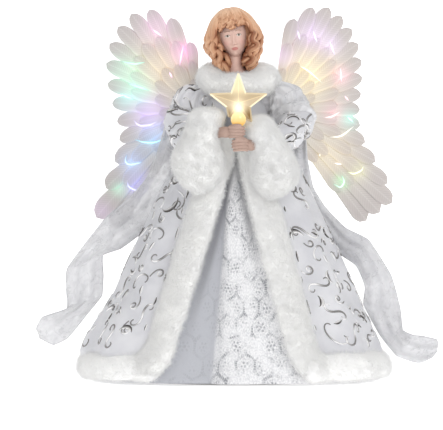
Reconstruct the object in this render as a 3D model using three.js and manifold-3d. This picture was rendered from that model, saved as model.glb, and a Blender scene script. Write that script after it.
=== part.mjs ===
// Angel tree topper with lit wings and a lit star. Millimetres, +Z up, the figure faces -Y and its cone
// stands on z = 0. Right and left are the figure's own, so right is -X and left is +X.

import * as THREE from "three";
import { mergeVertices } from "three/addons/utils/BufferGeometryUtils.js";
import Module from "manifold-3d";

const wasm = await Module();
wasm.setup();

// Fits and sheets
const clearance = 0.3;
const cloth = 1.2;
const ribbon = 0.9;
const facetRoom = 0.4;
const film = 1.0;

// Body cone
const coneFootRadius = 74;
const coneTopRadius = 11;
const coneHeight = 234;
const coneWall = 1.6;
const coneRimWidth = 6;
const coneRimHeight = 2;

// Coat: ease is the room between cone and cloth
const coatSideEase = 48;
const coatFrontEase = 30;
const coatBackEase = 16;
const coatTopSideEase = 9;
const coatTopDepthEase = 4.1;
const coatSideBulge = 4;
const coatFlare = 7;
const coatFlareTop = 72;
const coatFolds = 12;
const coatFoldDepth = 3.5;
const coatTop = coneHeight - 8;
const foldTop = coneHeight - 28;
const openingHalfWidth = 52;
const openingShift = -4.5;
const openingTop = coneHeight - 48;
const openingCurve = 1.1;

// Fur trims of the coat
const trimWidth = 25;
const trimTopWidth = 10;
const trimEdge = 2;
const trimFur = 9;
const trimGap = 1;
const trimTop = openingTop - 5;
const hemFoot = 2;
const hemTop = 24;
const hemFur = 5;

// Gown
const gownGap = 1.5;
const gownFolds = 12;
const gownFoldDepth = 3;
const gownFoot = 1.5;
const gownTop = coneHeight - 3;

// Inner deck and tree socket
const deckHeight = 80;
const deckThickness = 2.5;
const socketMouthRadius = 10;
const socketTipRadius = 7.5;
const socketWall = 2;
const socketTopRoom = 66;
const socketFlangeRadius = 16;
const socketFlangeThickness = 2;

// Battery box with three AA cells side by side
const cellRadius = 7.1;
const cellLength = 49;
const cellNubRadius = 2.7;
const cellNubLength = 1.5;
const cellPitch = 14.9;
const cellCount = 3;
const stripThickness = 0.8;
const stripDepth = 9;
const boxWall = 1.6;
const boxTopWall = 5;
const boxFront = 24;
const boxSwitchRoom = 6;
const doorThickness = 1.8;
const doorPinRadius = 1;
const doorBarrelRadius = 2.3;
const doorEarWidth = 4;
const doorEarInset = 2;
const switchNubLength = 5;
const switchNubWidth = 4;
const switchNubReach = 2.5;
const switchFlange = 2;
const switchFlangeThickness = 1.2;
const switchTravel = 4;

// Screws
const screwRadius = 1.5;
const screwHeadRadius = 3;
const screwHeadThickness = 2;
const boxScrewSpacing = 20;
const boxScrewDepth = 4;

// Light housing on the deck, with one lamp and one bundle of fibres for each wing
const housingHalfWidth = 16;
const housingFront = 18;
const housingDepth = 20;
const housingRise = 20;
const housingWall = 1.6;
const boardThickness = 1.6;
const lampSpacing = 7;
const lampRadius = 2.5;
const lampRise = 8;
const ferruleWall = 1.4;
const ferruleLength = 14;
const ferruleFlangeRadius = 6;
const bundleRadius = 2.4;
const bundleSpacing = 4.6;
const leadRadius = 1.2;
const chestHoleRoom = 2.4;
// Run of the star's lead, with heights from the top of the cone
const starLeadRun = [
  [-19, 24, -119],
  [-17, 10, -84],
  [-8, -2, -49],
  [0, -12, -31],
  [0, -24, -26],
  [1, -50, -27],
];

// Wing bracket and hinges
const bracketDrop = 32;
const bracketHalfWidth = 17;
const bracketThickness = 3.5;
const bracketNeckHalfWidth = 9;
const bracketNeckHalfHeight = 12;
const bracketStandOff = 2;
const bracketScrewRise = 8.2;
const lugThickness = 4;
const hingeSpacing = 12;
const hingeReach = 6.5;
const hingeMargin = 4.5;
const barrelRadius = 4;
const barrelHalfHeight = 12;
const pinRadius = 1.5;
const pinHeadRadius = 2.8;
const pinHeadThickness = 1.5;

// Wings: feather lengths by angle from straight up, round to the outside and down
const wingSweep = 12;
const fanOut = 19.4;
const fanRise = 15.3;
const fanRoot = 9;
const frameThickness = 2.4;
const upperFeather = 96.5;
const waistFeather = 69;
const lowerFeather = 124.5;
const wingAngles = {
  right: { first: 7, upper: 36, waist: 99, lower: 136, last: 137 },
  left: { first: 10, upper: 31, waist: 90, lower: 125, last: 136 },
};
const featherLayers = {
  long: { count: 16, reach: 1, notch: 0.84, order: 0 },
  middle: { count: 13, reach: 0.73, notch: 0.82, order: 1 },
  short: { count: 9, reach: 0.46, notch: 0.8, order: 2 },
};

// Head, hair and collar
const headCentre = [-1.2, -9, coneHeight + 41.5];
const headHalf = [12.5, 14, 18.5];
const headTilt = -8;
const jawNarrowing = 0.3;
const neckRadius = 6;
const shoulderRadius = 16;
const shoulderRise = 13;
const plugLength = 8;
const hairTop = 3.5;
const hairSide = 8;
const hairLength = 20;
const hairCurl = 1.4;
const faceSpread = 58;
const fringeDrop = 26;
const napeSpread = 67;
const collarCentre = [2.4, -4, coneHeight + 7];
const collarRing = [19.5, 15];
const collarTube = [12.5, 11.5];

// Arms and sleeves: runs from the shoulder to the wrist, given outwards from the middle, with heights from
// the top of the cone; the left sleeve is the fuller one
const armRun = [
  [8, 0, -13],
  [22, 0, -11],
  [35, -1, -15],
  [45, -8, -27],
  [47, -22, -38],
  [40, -43, -42],
];
const armRadius = 2.5;
const armHoleRoom = 2.1;
const sleeveRun = {
  right: [
    [18, 1, -12],
    [32, -1, -14],
    [42, -7, -26],
    [43, -22, -39],
    [38, -42, -44],
    [30, -56, -46],
  ],
  left: [
    [18, 1, -12],
    [34, -1, -15],
    [46, -8, -27],
    [48, -23, -40],
    [40, -43, -45],
    [31, -56, -47],
  ],
};
const sleeveRadii = { right: [10, 12.5, 13.5, 13.5, 13, 12], left: [10, 14, 16, 16, 15, 13] };
const wristOut = 17;
const wristForward = -68;
const cuffCentre = { right: [28.5, -58, -49.5], left: [27, -58, -53.5] };
const cuffHalf = [17, 19.5, 32];
const cuffFlare = 3;
const cuffLean = { right: 4, left: 6 };

// Hands and star
const stemAxis = [2, -74];
const stemRadius = 4.4;
const stemFoot = coneHeight - 52;
const stemNeck = 3;
const starLampRadius = 5.4;
const starCentreHeight = coneHeight - 14;
const starRadius = 23.2;
const starNotch = 0.43;
const starHalfDepth = 5;
const starRim = 1.2;
const fingerRadius = 1.25;
const fingerPitch = 2.6;
const fingerCount = 4;
const palmHalf = [6.4, 3.6, 5.1];
const wristRadius = 3.4;
const handGap = 0.5;

// Scarves: where the middle of the ribbon runs, its height as a share of the cone's, and the half width
// across it
const scarfRuns = {
  right: [
    [[-40, 2, 0.923], [4, 3, -1]],
    [[-53, 14, 0.885], [6, 4, -1]],
    [[-58, 10, 0.791], [8, 4, 0]],
    [[-61, 11, 0.688], [8, 5, 0]],
    [[-66, 18, 0.594], [9, 12, -4]],
    [[-80, 13, 0.534], [8, 6, -9]],
    [[-97, 4, 0.496], [7, 2, -10]],
    [[-119, -5, 0.409], [14, -2, 4]],
    [[-120, 2, 0.335], [15, 2, 5]],
    [[-121, 6, 0.267], [14, -1, 4]],
    [[-133, -1, 0.223], [12, 0, -2]],
    [[-144, -3, 0.181], [10, 2, -8]],
    [[-152, 1, 0.157], [6, 2, -8]],
    [[-158, 4, 0.16], [2, 0, -4]],
  ],
  left: [
    [[40, 2, 0.923], [4, -3, 1]],
    [[54, 14, 0.868], [6, -4, 1]],
    [[56, 11, 0.761], [7, -4, 0]],
    [[62, 14, 0.658], [8, -8, 2]],
    [[69, 19, 0.556], [7, -12, 6]],
    [[84, 13, 0.487], [4, -6, 10]],
    [[102, 2, 0.436], [5, -2, 10]],
    [[115, -4, 0.342], [11, 2, 5]],
    [[119, 2, 0.256], [12, 1, 0]],
    [[128, 1, 0.169], [7, -2, 2]],
    [[136, -5, 0.122], [6, 1, 8]],
    [[148, -1, 0.107], [2, 0, 11]],
    [[159, 3, 0.111], [2, 0, 7]],
  ],
};

const signOf = { right: -1, left: 1 };
const lerp = THREE.MathUtils.lerp;
const radians = THREE.MathUtils.degToRad;
const boxTop = deckHeight - clearance;
const deckTop = deckHeight + deckThickness;
const bracketHeight = coneHeight - bracketDrop;
const stemTop = starCentreHeight - starRadius * starNotch - starLampRadius - stemNeck;
const handHalf = Math.max(palmHalf[2], ((fingerCount - 1) / 2) * fingerPitch + fingerRadius);
const upperHand = stemTop - clearance - handHalf;
const wristHeight = { right: upperHand, left: upperHand - 2 * handHalf - handGap };

const model = new THREE.Group();
const wings = { right: new THREE.Group(), left: new THREE.Group() };

function finish(color, roughness, metalness) {
  return new THREE.MeshStandardMaterial({ color, roughness, metalness });
}

const finishes = {
  mould: finish(0xe9e7e2, 0.5, 0),
  steel: finish(0xb9bcc0, 0.3, 1),
  cell: finish(0x3c6b58, 0.4, 0.2),
  board: finish(0x2f6b45, 0.5, 0),
  fibre: finish(0xdfe9f2, 0.15, 0),
  lead: finish(0xdcdcdc, 0.6, 0),
  feather: finish(0xe8dcc8, 0.45, 0),
  skin: finish(0xe3bda9, 0.45, 0),
  hair: finish(0xd79c68, 0.4, 0),
  fur: finish(0xf7f6f4, 0.95, 0),
  lace: finish(0xe4e5ea, 0.7, 0),
  satin: finish(0xd6d7df, 0.45, 0.1),
  organza: finish(0xcfd1d4, 0.55, 0),
  amber: finish(0xf2b53a, 0.1, 0),
  glow: finish(0xfff3c0, 0.3, 0),
};

function add(name, geometry, material, parent = model) {
  const mesh = new THREE.Mesh(geometry, finishes[material]);
  mesh.name = name;
  parent.add(mesh);
}

// Drops faces that shrank to a line, and turns the rest outwards when their signed volume is negative.
function facingOut(geometry) {
  geometry.deleteAttribute("normal");
  geometry.deleteAttribute("uv");
  const body = mergeVertices(geometry, 1e-4);
  const corners = body.attributes.position;
  const index = body.index.array;
  const [a, b, c] = [new THREE.Vector3(), new THREE.Vector3(), new THREE.Vector3()];
  let volume = 0;
  for (let i = 0; i < index.length; i += 3) {
    a.fromBufferAttribute(corners, index[i]);
    b.fromBufferAttribute(corners, index[i + 1]);
    c.fromBufferAttribute(corners, index[i + 2]);
    volume += a.dot(b.cross(c));
  }
  body.setIndex(Array.from(index).filter((value, i) => {
    const [p, q, r] = index.slice(i - (i % 3), i - (i % 3) + 3);
    return p !== q && q !== r && p !== r;
  }));
  const kept = body.index.array;
  if (volume < 0) {
    for (let i = 0; i < kept.length; i += 3) {
      [kept[i], kept[i + 1]] = [kept[i + 1], kept[i]];
    }
  }
  return body;
}

function toSolid(geometry) {
  const body = facingOut(geometry.clone());
  const vertProperties = Float32Array.from(body.attributes.position.array);
  const triVerts = Uint32Array.from(body.index.array);
  return new wasm.Manifold(new wasm.Mesh({ numProp: 3, vertProperties, triVerts }));
}

function toGeometry(solid) {
  const mesh = solid.getMesh();
  const geometry = new THREE.BufferGeometry();
  geometry.setAttribute("position", new THREE.BufferAttribute(mesh.vertProperties, 3));
  geometry.setIndex(new THREE.BufferAttribute(mesh.triVerts, 1));
  return geometry;
}

function cut(geometry, ...tools) {
  return toGeometry(tools.reduce((left, tool) => left.subtract(toSolid(tool)), toSolid(geometry)));
}

function join(first, ...others) {
  return toGeometry(others.reduce((sum, other) => sum.add(toSolid(other)), toSolid(first)));
}

function meshFrom(positions, faces) {
  const geometry = new THREE.BufferGeometry();
  geometry.setAttribute("position", new THREE.Float32BufferAttribute(positions, 3));
  geometry.setIndex(faces);
  return facingOut(geometry);
}

// A closed body between two surfaces on the same grid. With wrap, the grid meets itself along u.
function slab(outer, inner, columns, rows, wrap = false) {
  const positions = [];
  const faces = [];
  const across = wrap ? columns : columns + 1;
  const layer = across * (rows + 1);
  for (const surface of [outer, inner]) {
    for (let j = 0; j <= rows; j += 1) {
      for (let i = 0; i < across; i += 1) {
        positions.push(...surface(i / columns, j / rows));
      }
    }
  }
  const at = (face, i, j) => face * layer + j * across + (wrap ? i % columns : i);
  const quad = (a, b, c, d) => faces.push(a, b, c, a, c, d);
  for (let i = 0; i < columns; i += 1) {
    for (let j = 0; j < rows; j += 1) {
      quad(at(0, i, j), at(0, i + 1, j), at(0, i + 1, j + 1), at(0, i, j + 1));
      quad(at(1, i, j), at(1, i, j + 1), at(1, i + 1, j + 1), at(1, i + 1, j));
    }
    quad(at(0, i, 0), at(1, i, 0), at(1, i + 1, 0), at(0, i + 1, 0));
    quad(at(0, i, rows), at(0, i + 1, rows), at(1, i + 1, rows), at(1, i, rows));
  }
  for (let j = 0; j < rows && !wrap; j += 1) {
    quad(at(0, 0, j), at(0, 0, j + 1), at(1, 0, j + 1), at(1, 0, j));
    quad(at(0, columns, j), at(1, columns, j), at(1, columns, j + 1), at(0, columns, j + 1));
  }
  return meshFrom(positions, faces);
}

// A closed ring: the surface meets itself along both u and v.
function ringBody(surface, columns, rows) {
  const positions = [];
  const faces = [];
  for (let j = 0; j < rows; j += 1) {
    for (let i = 0; i < columns; i += 1) {
      positions.push(...surface(i / columns, j / rows));
      const next = (i + 1) % columns;
      const above = (j + 1) % rows;
      faces.push(j * columns + i, j * columns + next, above * columns + next);
      faces.push(j * columns + i, above * columns + next, above * columns + i);
    }
  }
  return meshFrom(positions, faces);
}

function block(low, high) {
  const size = high.map((value, k) => value - low[k]);
  const middle = high.map((value, k) => (value + low[k]) / 2);
  return new THREE.BoxGeometry(...size).translate(...middle);
}

// A solid of revolution about the Z axis from [radius, height] points, listed up the outside.
function turned(profile, segments) {
  const points = profile.map(([radius, height]) => new THREE.Vector2(radius, height));
  return new THREE.LatheGeometry(points, segments).rotateX(Math.PI / 2);
}

function rod(from, to, radius, segments) {
  const start = new THREE.Vector3(...from);
  const run = new THREE.Vector3(...to).sub(start);
  const upright = new THREE.Vector3(0, 1, 0);
  const turn = new THREE.Quaternion().setFromUnitVectors(upright, run.clone().normalize());
  const body = new THREE.CylinderGeometry(radius, radius, run.length(), segments);
  return body.applyQuaternion(turn).translate(...start.addScaledVector(run, 0.5).toArray());
}

function curveThrough(points) {
  return new THREE.CatmullRomCurve3(points.map((point) => new THREE.Vector3(...point)));
}

function tube(points, radius, sides, steps) {
  const section = new THREE.Shape();
  section.absarc(0, 0, radius, 0, 2 * Math.PI, false);
  const outline = new THREE.Shape(section.getSpacedPoints(sides).slice(0, sides));
  return new THREE.ExtrudeGeometry(outline, { steps, extrudePath: curveThrough(points) });
}

function ball(half, centre, columns, rows) {
  return new THREE.SphereGeometry(1, columns, rows).scale(...half).translate(...centre);
}

// Radii of the layers: cone, then gown, then coat
function coneRadius(z) {
  return lerp(coneFootRadius, coneTopRadius, z / coneHeight);
}

function coatHalfSizes(z) {
  const share = z / coneHeight;
  const bulge = coatSideBulge * Math.sin(Math.PI * Math.min(1, share));
  return {
    side: coneRadius(z) + lerp(coatSideEase, coatTopSideEase, share) + bulge,
    front: coneRadius(z) + lerp(coatFrontEase, coatTopDepthEase, share),
    back: coneRadius(z) + lerp(coatBackEase, coatTopDepthEase, share),
  };
}

// The coat's plan is half an ellipse in front and half a shallower one behind.
function coatMean(angle, z) {
  const { side, front, back } = coatHalfSizes(z);
  const depth = Math.cos(angle) > 0 ? front : back;
  return 1 / Math.hypot(Math.sin(angle) / side, Math.cos(angle) / depth);
}

function foldShare(z) {
  return Math.max(0, 1 - z / foldTop);
}

// How far the coat kicks out at its sides, just above the hem
function sideFlare(angle, z) {
  const share = THREE.MathUtils.clamp(z / coatFlareTop, 0, 1);
  return coatFlare * Math.sin(Math.PI * share ** 0.7) * Math.sin(angle) ** 2;
}

function foldedCoat(angle, z) {
  return coatMean(angle, z) + coatFoldDepth * foldShare(z) * Math.cos(coatFolds * angle);
}

function coatOuter(angle, z) {
  return foldedCoat(angle, z) + sideFlare(angle, z);
}

// The furthest in that the coat's inner face comes at its folds
function lining(angle, z) {
  return coatMean(angle, z) - coatFoldDepth * foldShare(z) - cloth;
}

function gownOuter(angle, z) {
  const fold = gownFoldDepth * foldShare(z) * (1 - Math.cos(gownFolds * angle));
  return lining(angle, z) - gownGap - fold;
}

// Angle 0 is straight ahead, a quarter turn is the figure's left.
function around(angle, radius, z) {
  return [radius * Math.sin(angle), -radius * Math.cos(angle), z];
}

// Angle of the coat's opening at a height, moved out by an extra width
function openingAngle(sign, z, extra) {
  const share = Math.max(0, 1 - z / openingTop);
  const half = Math.max(trimGap, openingHalfWidth * share ** openingCurve) + extra;
  const x = sign * half + openingShift * share;
  const { side, front } = coatHalfSizes(z);
  return Math.atan2(x, front * Math.sqrt(1 - (x / side) ** 2));
}

function trimWidthAt(z) {
  const share = THREE.MathUtils.clamp((z - openingTop) / (coatTop - openingTop), 0, 1);
  return lerp(trimWidth, trimTopWidth, share);
}

// Angle at share u of the coat's way from its left front edge, behind the figure, to its right front edge
function coatAngle(u, z) {
  const gap = (clearance + facetRoom) / coatMean(0, z);
  const first = openingAngle(1, z, trimWidthAt(z)) + gap;
  const last = 2 * Math.PI + openingAngle(-1, z, trimWidthAt(z)) - gap;
  return lerp(first, last, u);
}

// Everything inside the coat's outer face, from the skirt up to the shoulders
function coatCore(grow) {
  const low = openingTop / 2;
  const outer = (u, v) => {
    const z = lerp(low, coneHeight, v);
    const angle = 2 * Math.PI * u;
    return around(angle, coatMean(angle, z) + coatFoldDepth * foldShare(z) + grow + facetRoom, z);
  };
  const inner = (u, v) => around(2 * Math.PI * u, 1, lerp(low, coneHeight, v));
  return slab(outer, inner, 32, 5, true);
}

// Arms: a bent rod from inside the cone to the wrist
function armPoints(side) {
  const upper = armRun.map(([x, y, fromTop]) => [x, y, coneHeight + fromTop]);
  const last = new THREE.Vector3(...upper.at(-1));
  const wrist = new THREE.Vector3(wristOut, wristForward, wristHeight[side]);
  const bend = last.clone().lerp(wrist, 0.6).add(new THREE.Vector3(3, 0, 0));
  const run = [...upper, bend.toArray(), wrist.toArray()];
  return run.map(([x, y, z]) => [signOf[side] * x, y, z]);
}

function armRod(side, grow) {
  return tube(armPoints(side), armRadius + grow, 6, 14);
}

// A hole along the first straight of the arm, from the axis out past the coat
function armHole(side) {
  const [from, to] = armPoints(side).map((point) => new THREE.Vector3(...point));
  const start = from.clone().lerp(to, -0.6);
  const end = from.clone().lerp(to, 2.4);
  return rod(start.toArray(), end.toArray(), armRadius + armHoleRoom, 10);
}

// Cuff: a fur muff about the forearm, taller than wide, fuller and further out towards its foot
function cuffBody(side, grow) {
  const sign = signOf[side];
  const [elbowOut, elbowForward] = armRun.at(-2);
  const forearm = Math.atan2(elbowForward - wristForward, elbowOut - wristOut);
  const body = new THREE.SphereGeometry(1, 16, 9).rotateX(Math.PI / 2);
  const place = body.attributes.position;
  for (let i = 0; i < place.count; i += 1) {
    const low = -place.getZ(i);
    place.setX(i, place.getX(i) * (cuffHalf[0] + cuffFlare * low + grow));
    place.setY(i, place.getY(i) * (cuffHalf[1] + cuffFlare * low + grow));
    place.setZ(i, -low * (cuffHalf[2] + grow));
  }
  body.rotateZ(-sign * forearm);
  for (let i = 0; i < place.count; i += 1) {
    place.setX(i, place.getX(i) - sign * (cuffLean[side] / cuffHalf[2]) * place.getZ(i));
  }
  const [out, forward, fromTop] = cuffCentre[side];
  return body.translate(sign * out, forward, coneHeight + fromTop);
}

function sleevePoints(side) {
  return sleeveRun[side].map(([x, y, fromTop]) => [signOf[side] * x, y, coneHeight + fromTop]);
}

// Surface of the sleeve: puffed at the upper arm, with soft folds round the elbow
function sleeveSurface(side, inset) {
  const steps = 8;
  const curve = curveThrough(sleevePoints(side));
  const frames = curve.computeFrenetFrames(steps, false);
  return (u, v) => {
    const k = Math.round(v * steps);
    const place = curve.getPointAt(k / steps);
    const radii = sleeveRadii[side];
    const part = v * (radii.length - 1);
    const low = Math.min(radii.length - 2, Math.floor(part));
    const fold = 1 + 0.05 * Math.sin(4 * 2 * Math.PI * u + 9 * v) * Math.sin(Math.PI * v);
    const full = lerp(radii[low], radii[low + 1], part - low) * fold;
    const radius = Math.max(full - inset, 0.5);
    const angle = 2 * Math.PI * u;
    place.addScaledVector(frames.normals[k], radius * Math.cos(angle));
    place.addScaledVector(frames.binormals[k], radius * Math.sin(angle));
    return place.toArray();
  };
}

function collarBody(grow) {
  const surface = (u, v) => {
    const turn = 2 * Math.PI * u;
    const roll = 2 * Math.PI * v;
    const out = (collarTube[0] + grow) * Math.cos(roll);
    return [
      collarCentre[0] + (collarRing[0] + out) * Math.sin(turn),
      collarCentre[1] - (collarRing[1] + out) * Math.cos(turn),
      collarCentre[2] + (collarTube[1] + grow) * Math.sin(roll),
    ];
  };
  return ringBody(surface, 18, 8);
}

// Head: an egg with a narrower jaw, tilted towards the figure's right
function headBall(grow) {
  const egg = new THREE.SphereGeometry(1, 16, 10).rotateX(Math.PI / 2);
  const place = egg.attributes.position;
  for (let i = 0; i < place.count; i += 1) {
    const jaw = 1 - jawNarrowing * Math.max(0, -place.getZ(i)) ** 1.5;
    place.setX(i, place.getX(i) * jaw * (headHalf[0] + grow));
    place.setY(i, place.getY(i) * jaw * (headHalf[1] + grow));
    place.setZ(i, place.getZ(i) * (headHalf[2] + grow));
  }
  return egg.rotateY(radians(headTilt)).translate(...headCentre);
}

function bustBody(grow) {
  const plug = coneTopRadius - coneWall - 2 * clearance;
  const seat = coneHeight + clearance;
  const profile = [
    [0, seat - plugLength - grow],
    [plug + grow, seat - plugLength - grow],
    [plug + grow, seat - grow],
    [shoulderRadius + grow, seat - grow],
    [shoulderRadius + grow, seat + 2],
    [shoulderRadius * 0.8 + grow, seat + shoulderRise * 0.55],
    [neckRadius + grow, seat + shoulderRise],
    [neckRadius + grow, headCentre[2] - headHalf[2] * 0.4],
    [0, headCentre[2] - headHalf[2] * 0.4],
  ];
  return turned(profile, 16);
}

// Feather fan in the wing's own plane: scallops round the outside, a small arc at the root
function featherReach(side, degrees) {
  const { upper, waist, lower } = wingAngles[side];
  if (degrees < upper) {
    return upperFeather * (1 - 0.6 * ((upper - degrees) / upper) ** 2);
  }
  if (degrees < waist) {
    const up = (waist - degrees) / (waist - upper);
    return waistFeather + (upperFeather - waistFeather) * up * up * (3 - 2 * up);
  }
  const down = Math.min(1, (degrees - waist) / (lower - waist));
  return waistFeather + (lowerFeather - waistFeather) * down ** 2.6;
}

function featherFan(side, layer) {
  const { first, last } = wingAngles[side];
  const { count, reach, notch, order } = featherLayers[layer];
  const step = (last - first) / (count - 1);
  const outline = [];
  const place = (degrees, radius) => {
    const angle = radians(degrees);
    const x = signOf[side] * (fanOut + radius * Math.sin(angle));
    outline.push(new THREE.Vector2(x, fanRise + radius * Math.cos(angle)));
  };
  for (let i = 0; i < count; i += 1) {
    const middle = first + i * step;
    const tip = featherReach(side, middle) * reach;
    for (const share of [-0.5, -0.34, -0.12, 0.12, 0.34]) {
      const dip = 1 - (2 * Math.abs(share)) ** 2.4;
      place(middle + share * step, tip * lerp(notch, 1, dip));
    }
  }
  place(last + 0.5 * step, featherReach(side, last) * reach * notch);
  for (let k = 0; k <= 4; k += 1) {
    place(lerp(last + 0.5 * step, first - 0.5 * step, k / 4), fanRoot);
  }
  const front = -clearance - (film + clearance) * order;
  const sheet = new THREE.ExtrudeGeometry(new THREE.Shape(outline), { depth: film, bevelEnabled: false });
  return facingOut(sheet.rotateX(Math.PI / 2).translate(0, front, 0));
}

// Wing frame: hinge barrel, root plate and two ribs behind the feathers
function wingFrame(side) {
  const sign = signOf[side];
  const root = barrelHalfHeight - 1;
  const outline = [
    [2, -root],
    [10, -root],
    [24, -5],
    [82, -43],
    [85, -39],
    [42, 0],
    [42, 10],
    [62, 62],
    [57, 64],
    [28, 24],
    [10, root],
    [2, root],
  ].map(([x, z]) => new THREE.Vector2(sign * x, z));
  const plate = new THREE.ExtrudeGeometry(new THREE.Shape(outline), {
    depth: frameThickness,
    bevelEnabled: false,
  });
  plate.rotateX(Math.PI / 2).translate(0, frameThickness, 0);
  const barrel = rod([0, 0, -barrelHalfHeight], [0, 0, barrelHalfHeight], barrelRadius, 16);
  const bore = rod([0, 0, -barrelHalfHeight - 1], [0, 0, barrelHalfHeight + 1], pinRadius + clearance, 12);
  return cut(join(plate, barrel), bore);
}

// Wing bracket: the neck goes through the clothes to the cone, the lugs hold both hinge pins
const bracketFoot = bracketHeight - barrelHalfHeight - clearance - lugThickness;
const coatBack = coatHalfSizes(bracketFoot).back + coatFoldDepth * foldShare(bracketFoot);
const bracketFace = coatBack + bracketStandOff;
const hingeDepth = bracketFace + bracketThickness + hingeReach;
const bracketHead = 2 * bracketHeight - bracketFoot;

function bracketScrewHeights() {
  return [bracketHeight - bracketScrewRise, bracketHeight + bracketScrewRise];
}

function wingBracket() {
  const plateBack = bracketFace + bracketThickness;
  const plate = block(
    [-bracketHalfWidth, bracketFace, bracketFoot],
    [bracketHalfWidth, plateBack, bracketHead],
  );
  const neck = block(
    [-bracketNeckHalfWidth, 5, bracketHeight - bracketNeckHalfHeight],
    [bracketNeckHalfWidth, bracketFace + 1, bracketHeight + bracketNeckHalfHeight],
  );
  const lugBack = hingeDepth + hingeMargin;
  const lugs = [bracketFoot, bracketHead - lugThickness].map((z) =>
    block([-bracketHalfWidth, bracketFace + 1, z], [bracketHalfWidth, lugBack, z + lugThickness]),
  );
  const cone = turned(
    [
      [0, -clearance],
      [coneFootRadius + clearance, -clearance],
      [coneTopRadius + clearance, coneHeight],
      [0, coneHeight],
    ],
    64,
  );
  const pinHoles = [-hingeSpacing, hingeSpacing].map((x) =>
    rod([x, hingeDepth, bracketFoot - 1], [x, hingeDepth, bracketHead + 1], pinRadius + clearance, 12),
  );
  const screwHoles = bracketScrewHeights().map((z) =>
    rod([0, 0, z], [0, plateBack + 1, z], screwRadius + clearance, 12),
  );
  const channel = block(
    [-bundleSpacing - bundleRadius - clearance, 0, bracketHeight - bundleRadius - 4 * clearance],
    [bundleSpacing + bundleRadius + clearance, plateBack + 1, bracketHeight + bundleRadius + 2 * clearance],
  );
  return cut(join(plate, neck, ...lugs), cone, ...pinHoles, ...screwHoles, channel);
}

// Window through the clothes for the bracket's neck
function bracketWindow() {
  const room = 1;
  return block(
    [-bracketNeckHalfWidth - room, 0, bracketHeight - bracketNeckHalfHeight - room],
    [bracketNeckHalfWidth + room, bracketFace + 20, bracketHeight + bracketNeckHalfHeight + room],
  );
}

// Star lead: from the light housing up inside the cone, out of the chest and forward to the star's stem
function starLeadPoints() {
  return [
    [-housingHalfWidth - clearance - leadRadius, lampDepth, deckTop + housingRise / 2],
    ...starLeadRun.map(([x, y, fromTop]) => [x, y, coneHeight + fromTop]),
    [stemAxis[0], stemAxis[1] + stemRadius + clearance + leadRadius / 2, wristHeight.right + 2],
  ];
}

// A hole along the lead where it leaves the chest
function chestHole() {
  const [from, to] = starLeadPoints().slice(4, 6).map((point) => new THREE.Vector3(...point));
  const start = from.clone().lerp(to, -0.8);
  const end = from.clone().lerp(to, 2);
  return rod(start.toArray(), end.toArray(), leadRadius + chestHoleRoom, 10);
}

// Inside the cone
function bodyCone() {
  const inner = coneFootRadius - coneWall;
  const shell = turned(
    [
      [coneFootRadius - coneRimWidth, 0],
      [coneFootRadius, 0],
      [coneTopRadius, coneHeight],
      [coneTopRadius - coneWall, coneHeight],
      [lerp(inner, coneTopRadius - coneWall, coneRimHeight / coneHeight), coneRimHeight],
      [coneFootRadius - coneRimWidth, coneRimHeight],
      [coneFootRadius - coneRimWidth, 0],
    ],
    32,
  );
  const fibreWindow = block(
    [-bundleSpacing - bundleRadius - 1, 3, bracketHeight - 12],
    [bundleSpacing + bundleRadius + 1, coneFootRadius, bracketHeight + 4.6],
  );
  const screwHoles = bracketScrewHeights().map((z) =>
    rod([0, 5, z], [0, coneFootRadius, z], screwRadius + clearance, 10),
  );
  return cut(shell, fibreWindow, ...screwHoles, chestHole(), armHole("right"), armHole("left"));
}

function deckRadius(z) {
  return coneRadius(z) - coneWall - clearance - 0.2;
}

const boxBack = boxFront + boxWall + 2 * cellRadius + 2 * clearance + boxWall;
const boxMiddle = (boxFront + boxBack) / 2;

function innerDeck() {
  const plate = turned(
    [
      [socketMouthRadius + socketWall + clearance, deckHeight],
      [deckRadius(deckHeight), deckHeight],
      [deckRadius(deckTop), deckTop],
      [socketMouthRadius + socketWall + clearance, deckTop],
      [socketMouthRadius + socketWall + clearance, deckHeight],
    ],
    32,
  );
  const screwHoles = [-boxScrewSpacing, boxScrewSpacing].map((x) =>
    rod([x, boxMiddle, deckHeight - 1], [x, boxMiddle, deckTop + 1], screwRadius + clearance, 8),
  );
  const leadHole = rod(
    [0, boxMiddle, deckHeight - 1],
    [0, boxMiddle, deckTop + 1],
    leadRadius + clearance,
    10,
  );
  return cut(plate, ...screwHoles, leadHole);
}

function treeSocket() {
  const flangeFoot = deckTop + clearance;
  const flangeTop = flangeFoot + socketFlangeThickness;
  const tip = coneHeight - socketTopRoom;
  return turned(
    [
      [socketMouthRadius, deckHeight],
      [socketMouthRadius + socketWall, deckHeight],
      [socketMouthRadius + socketWall, flangeFoot],
      [socketFlangeRadius, flangeFoot],
      [socketFlangeRadius, flangeTop],
      [socketMouthRadius + socketWall, flangeTop],
      [socketTipRadius + socketWall, tip],
      [socketTipRadius, tip],
      [socketMouthRadius, deckHeight],
    ],
    20,
  );
}

const cellSpan = cellLength + cellNubLength;
const cellRoomHeight = cellSpan + 2 * stripThickness + 4 * clearance;
const boxHalfWidth = ((cellCount - 1) * cellPitch) / 2 + cellRadius + clearance + boxWall;
const cellRoomTop = boxTop - boxTopWall;
const cellRoomFoot = cellRoomTop - cellRoomHeight;
const boxFoot = cellRoomFoot - boxWall - boxSwitchRoom - boxWall;
const doorAxis = [boxFront - doorBarrelRadius - clearance, boxTop - doorBarrelRadius - clearance];
const doorEarInner = boxHalfWidth - doorEarInset - doorEarWidth;

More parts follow.
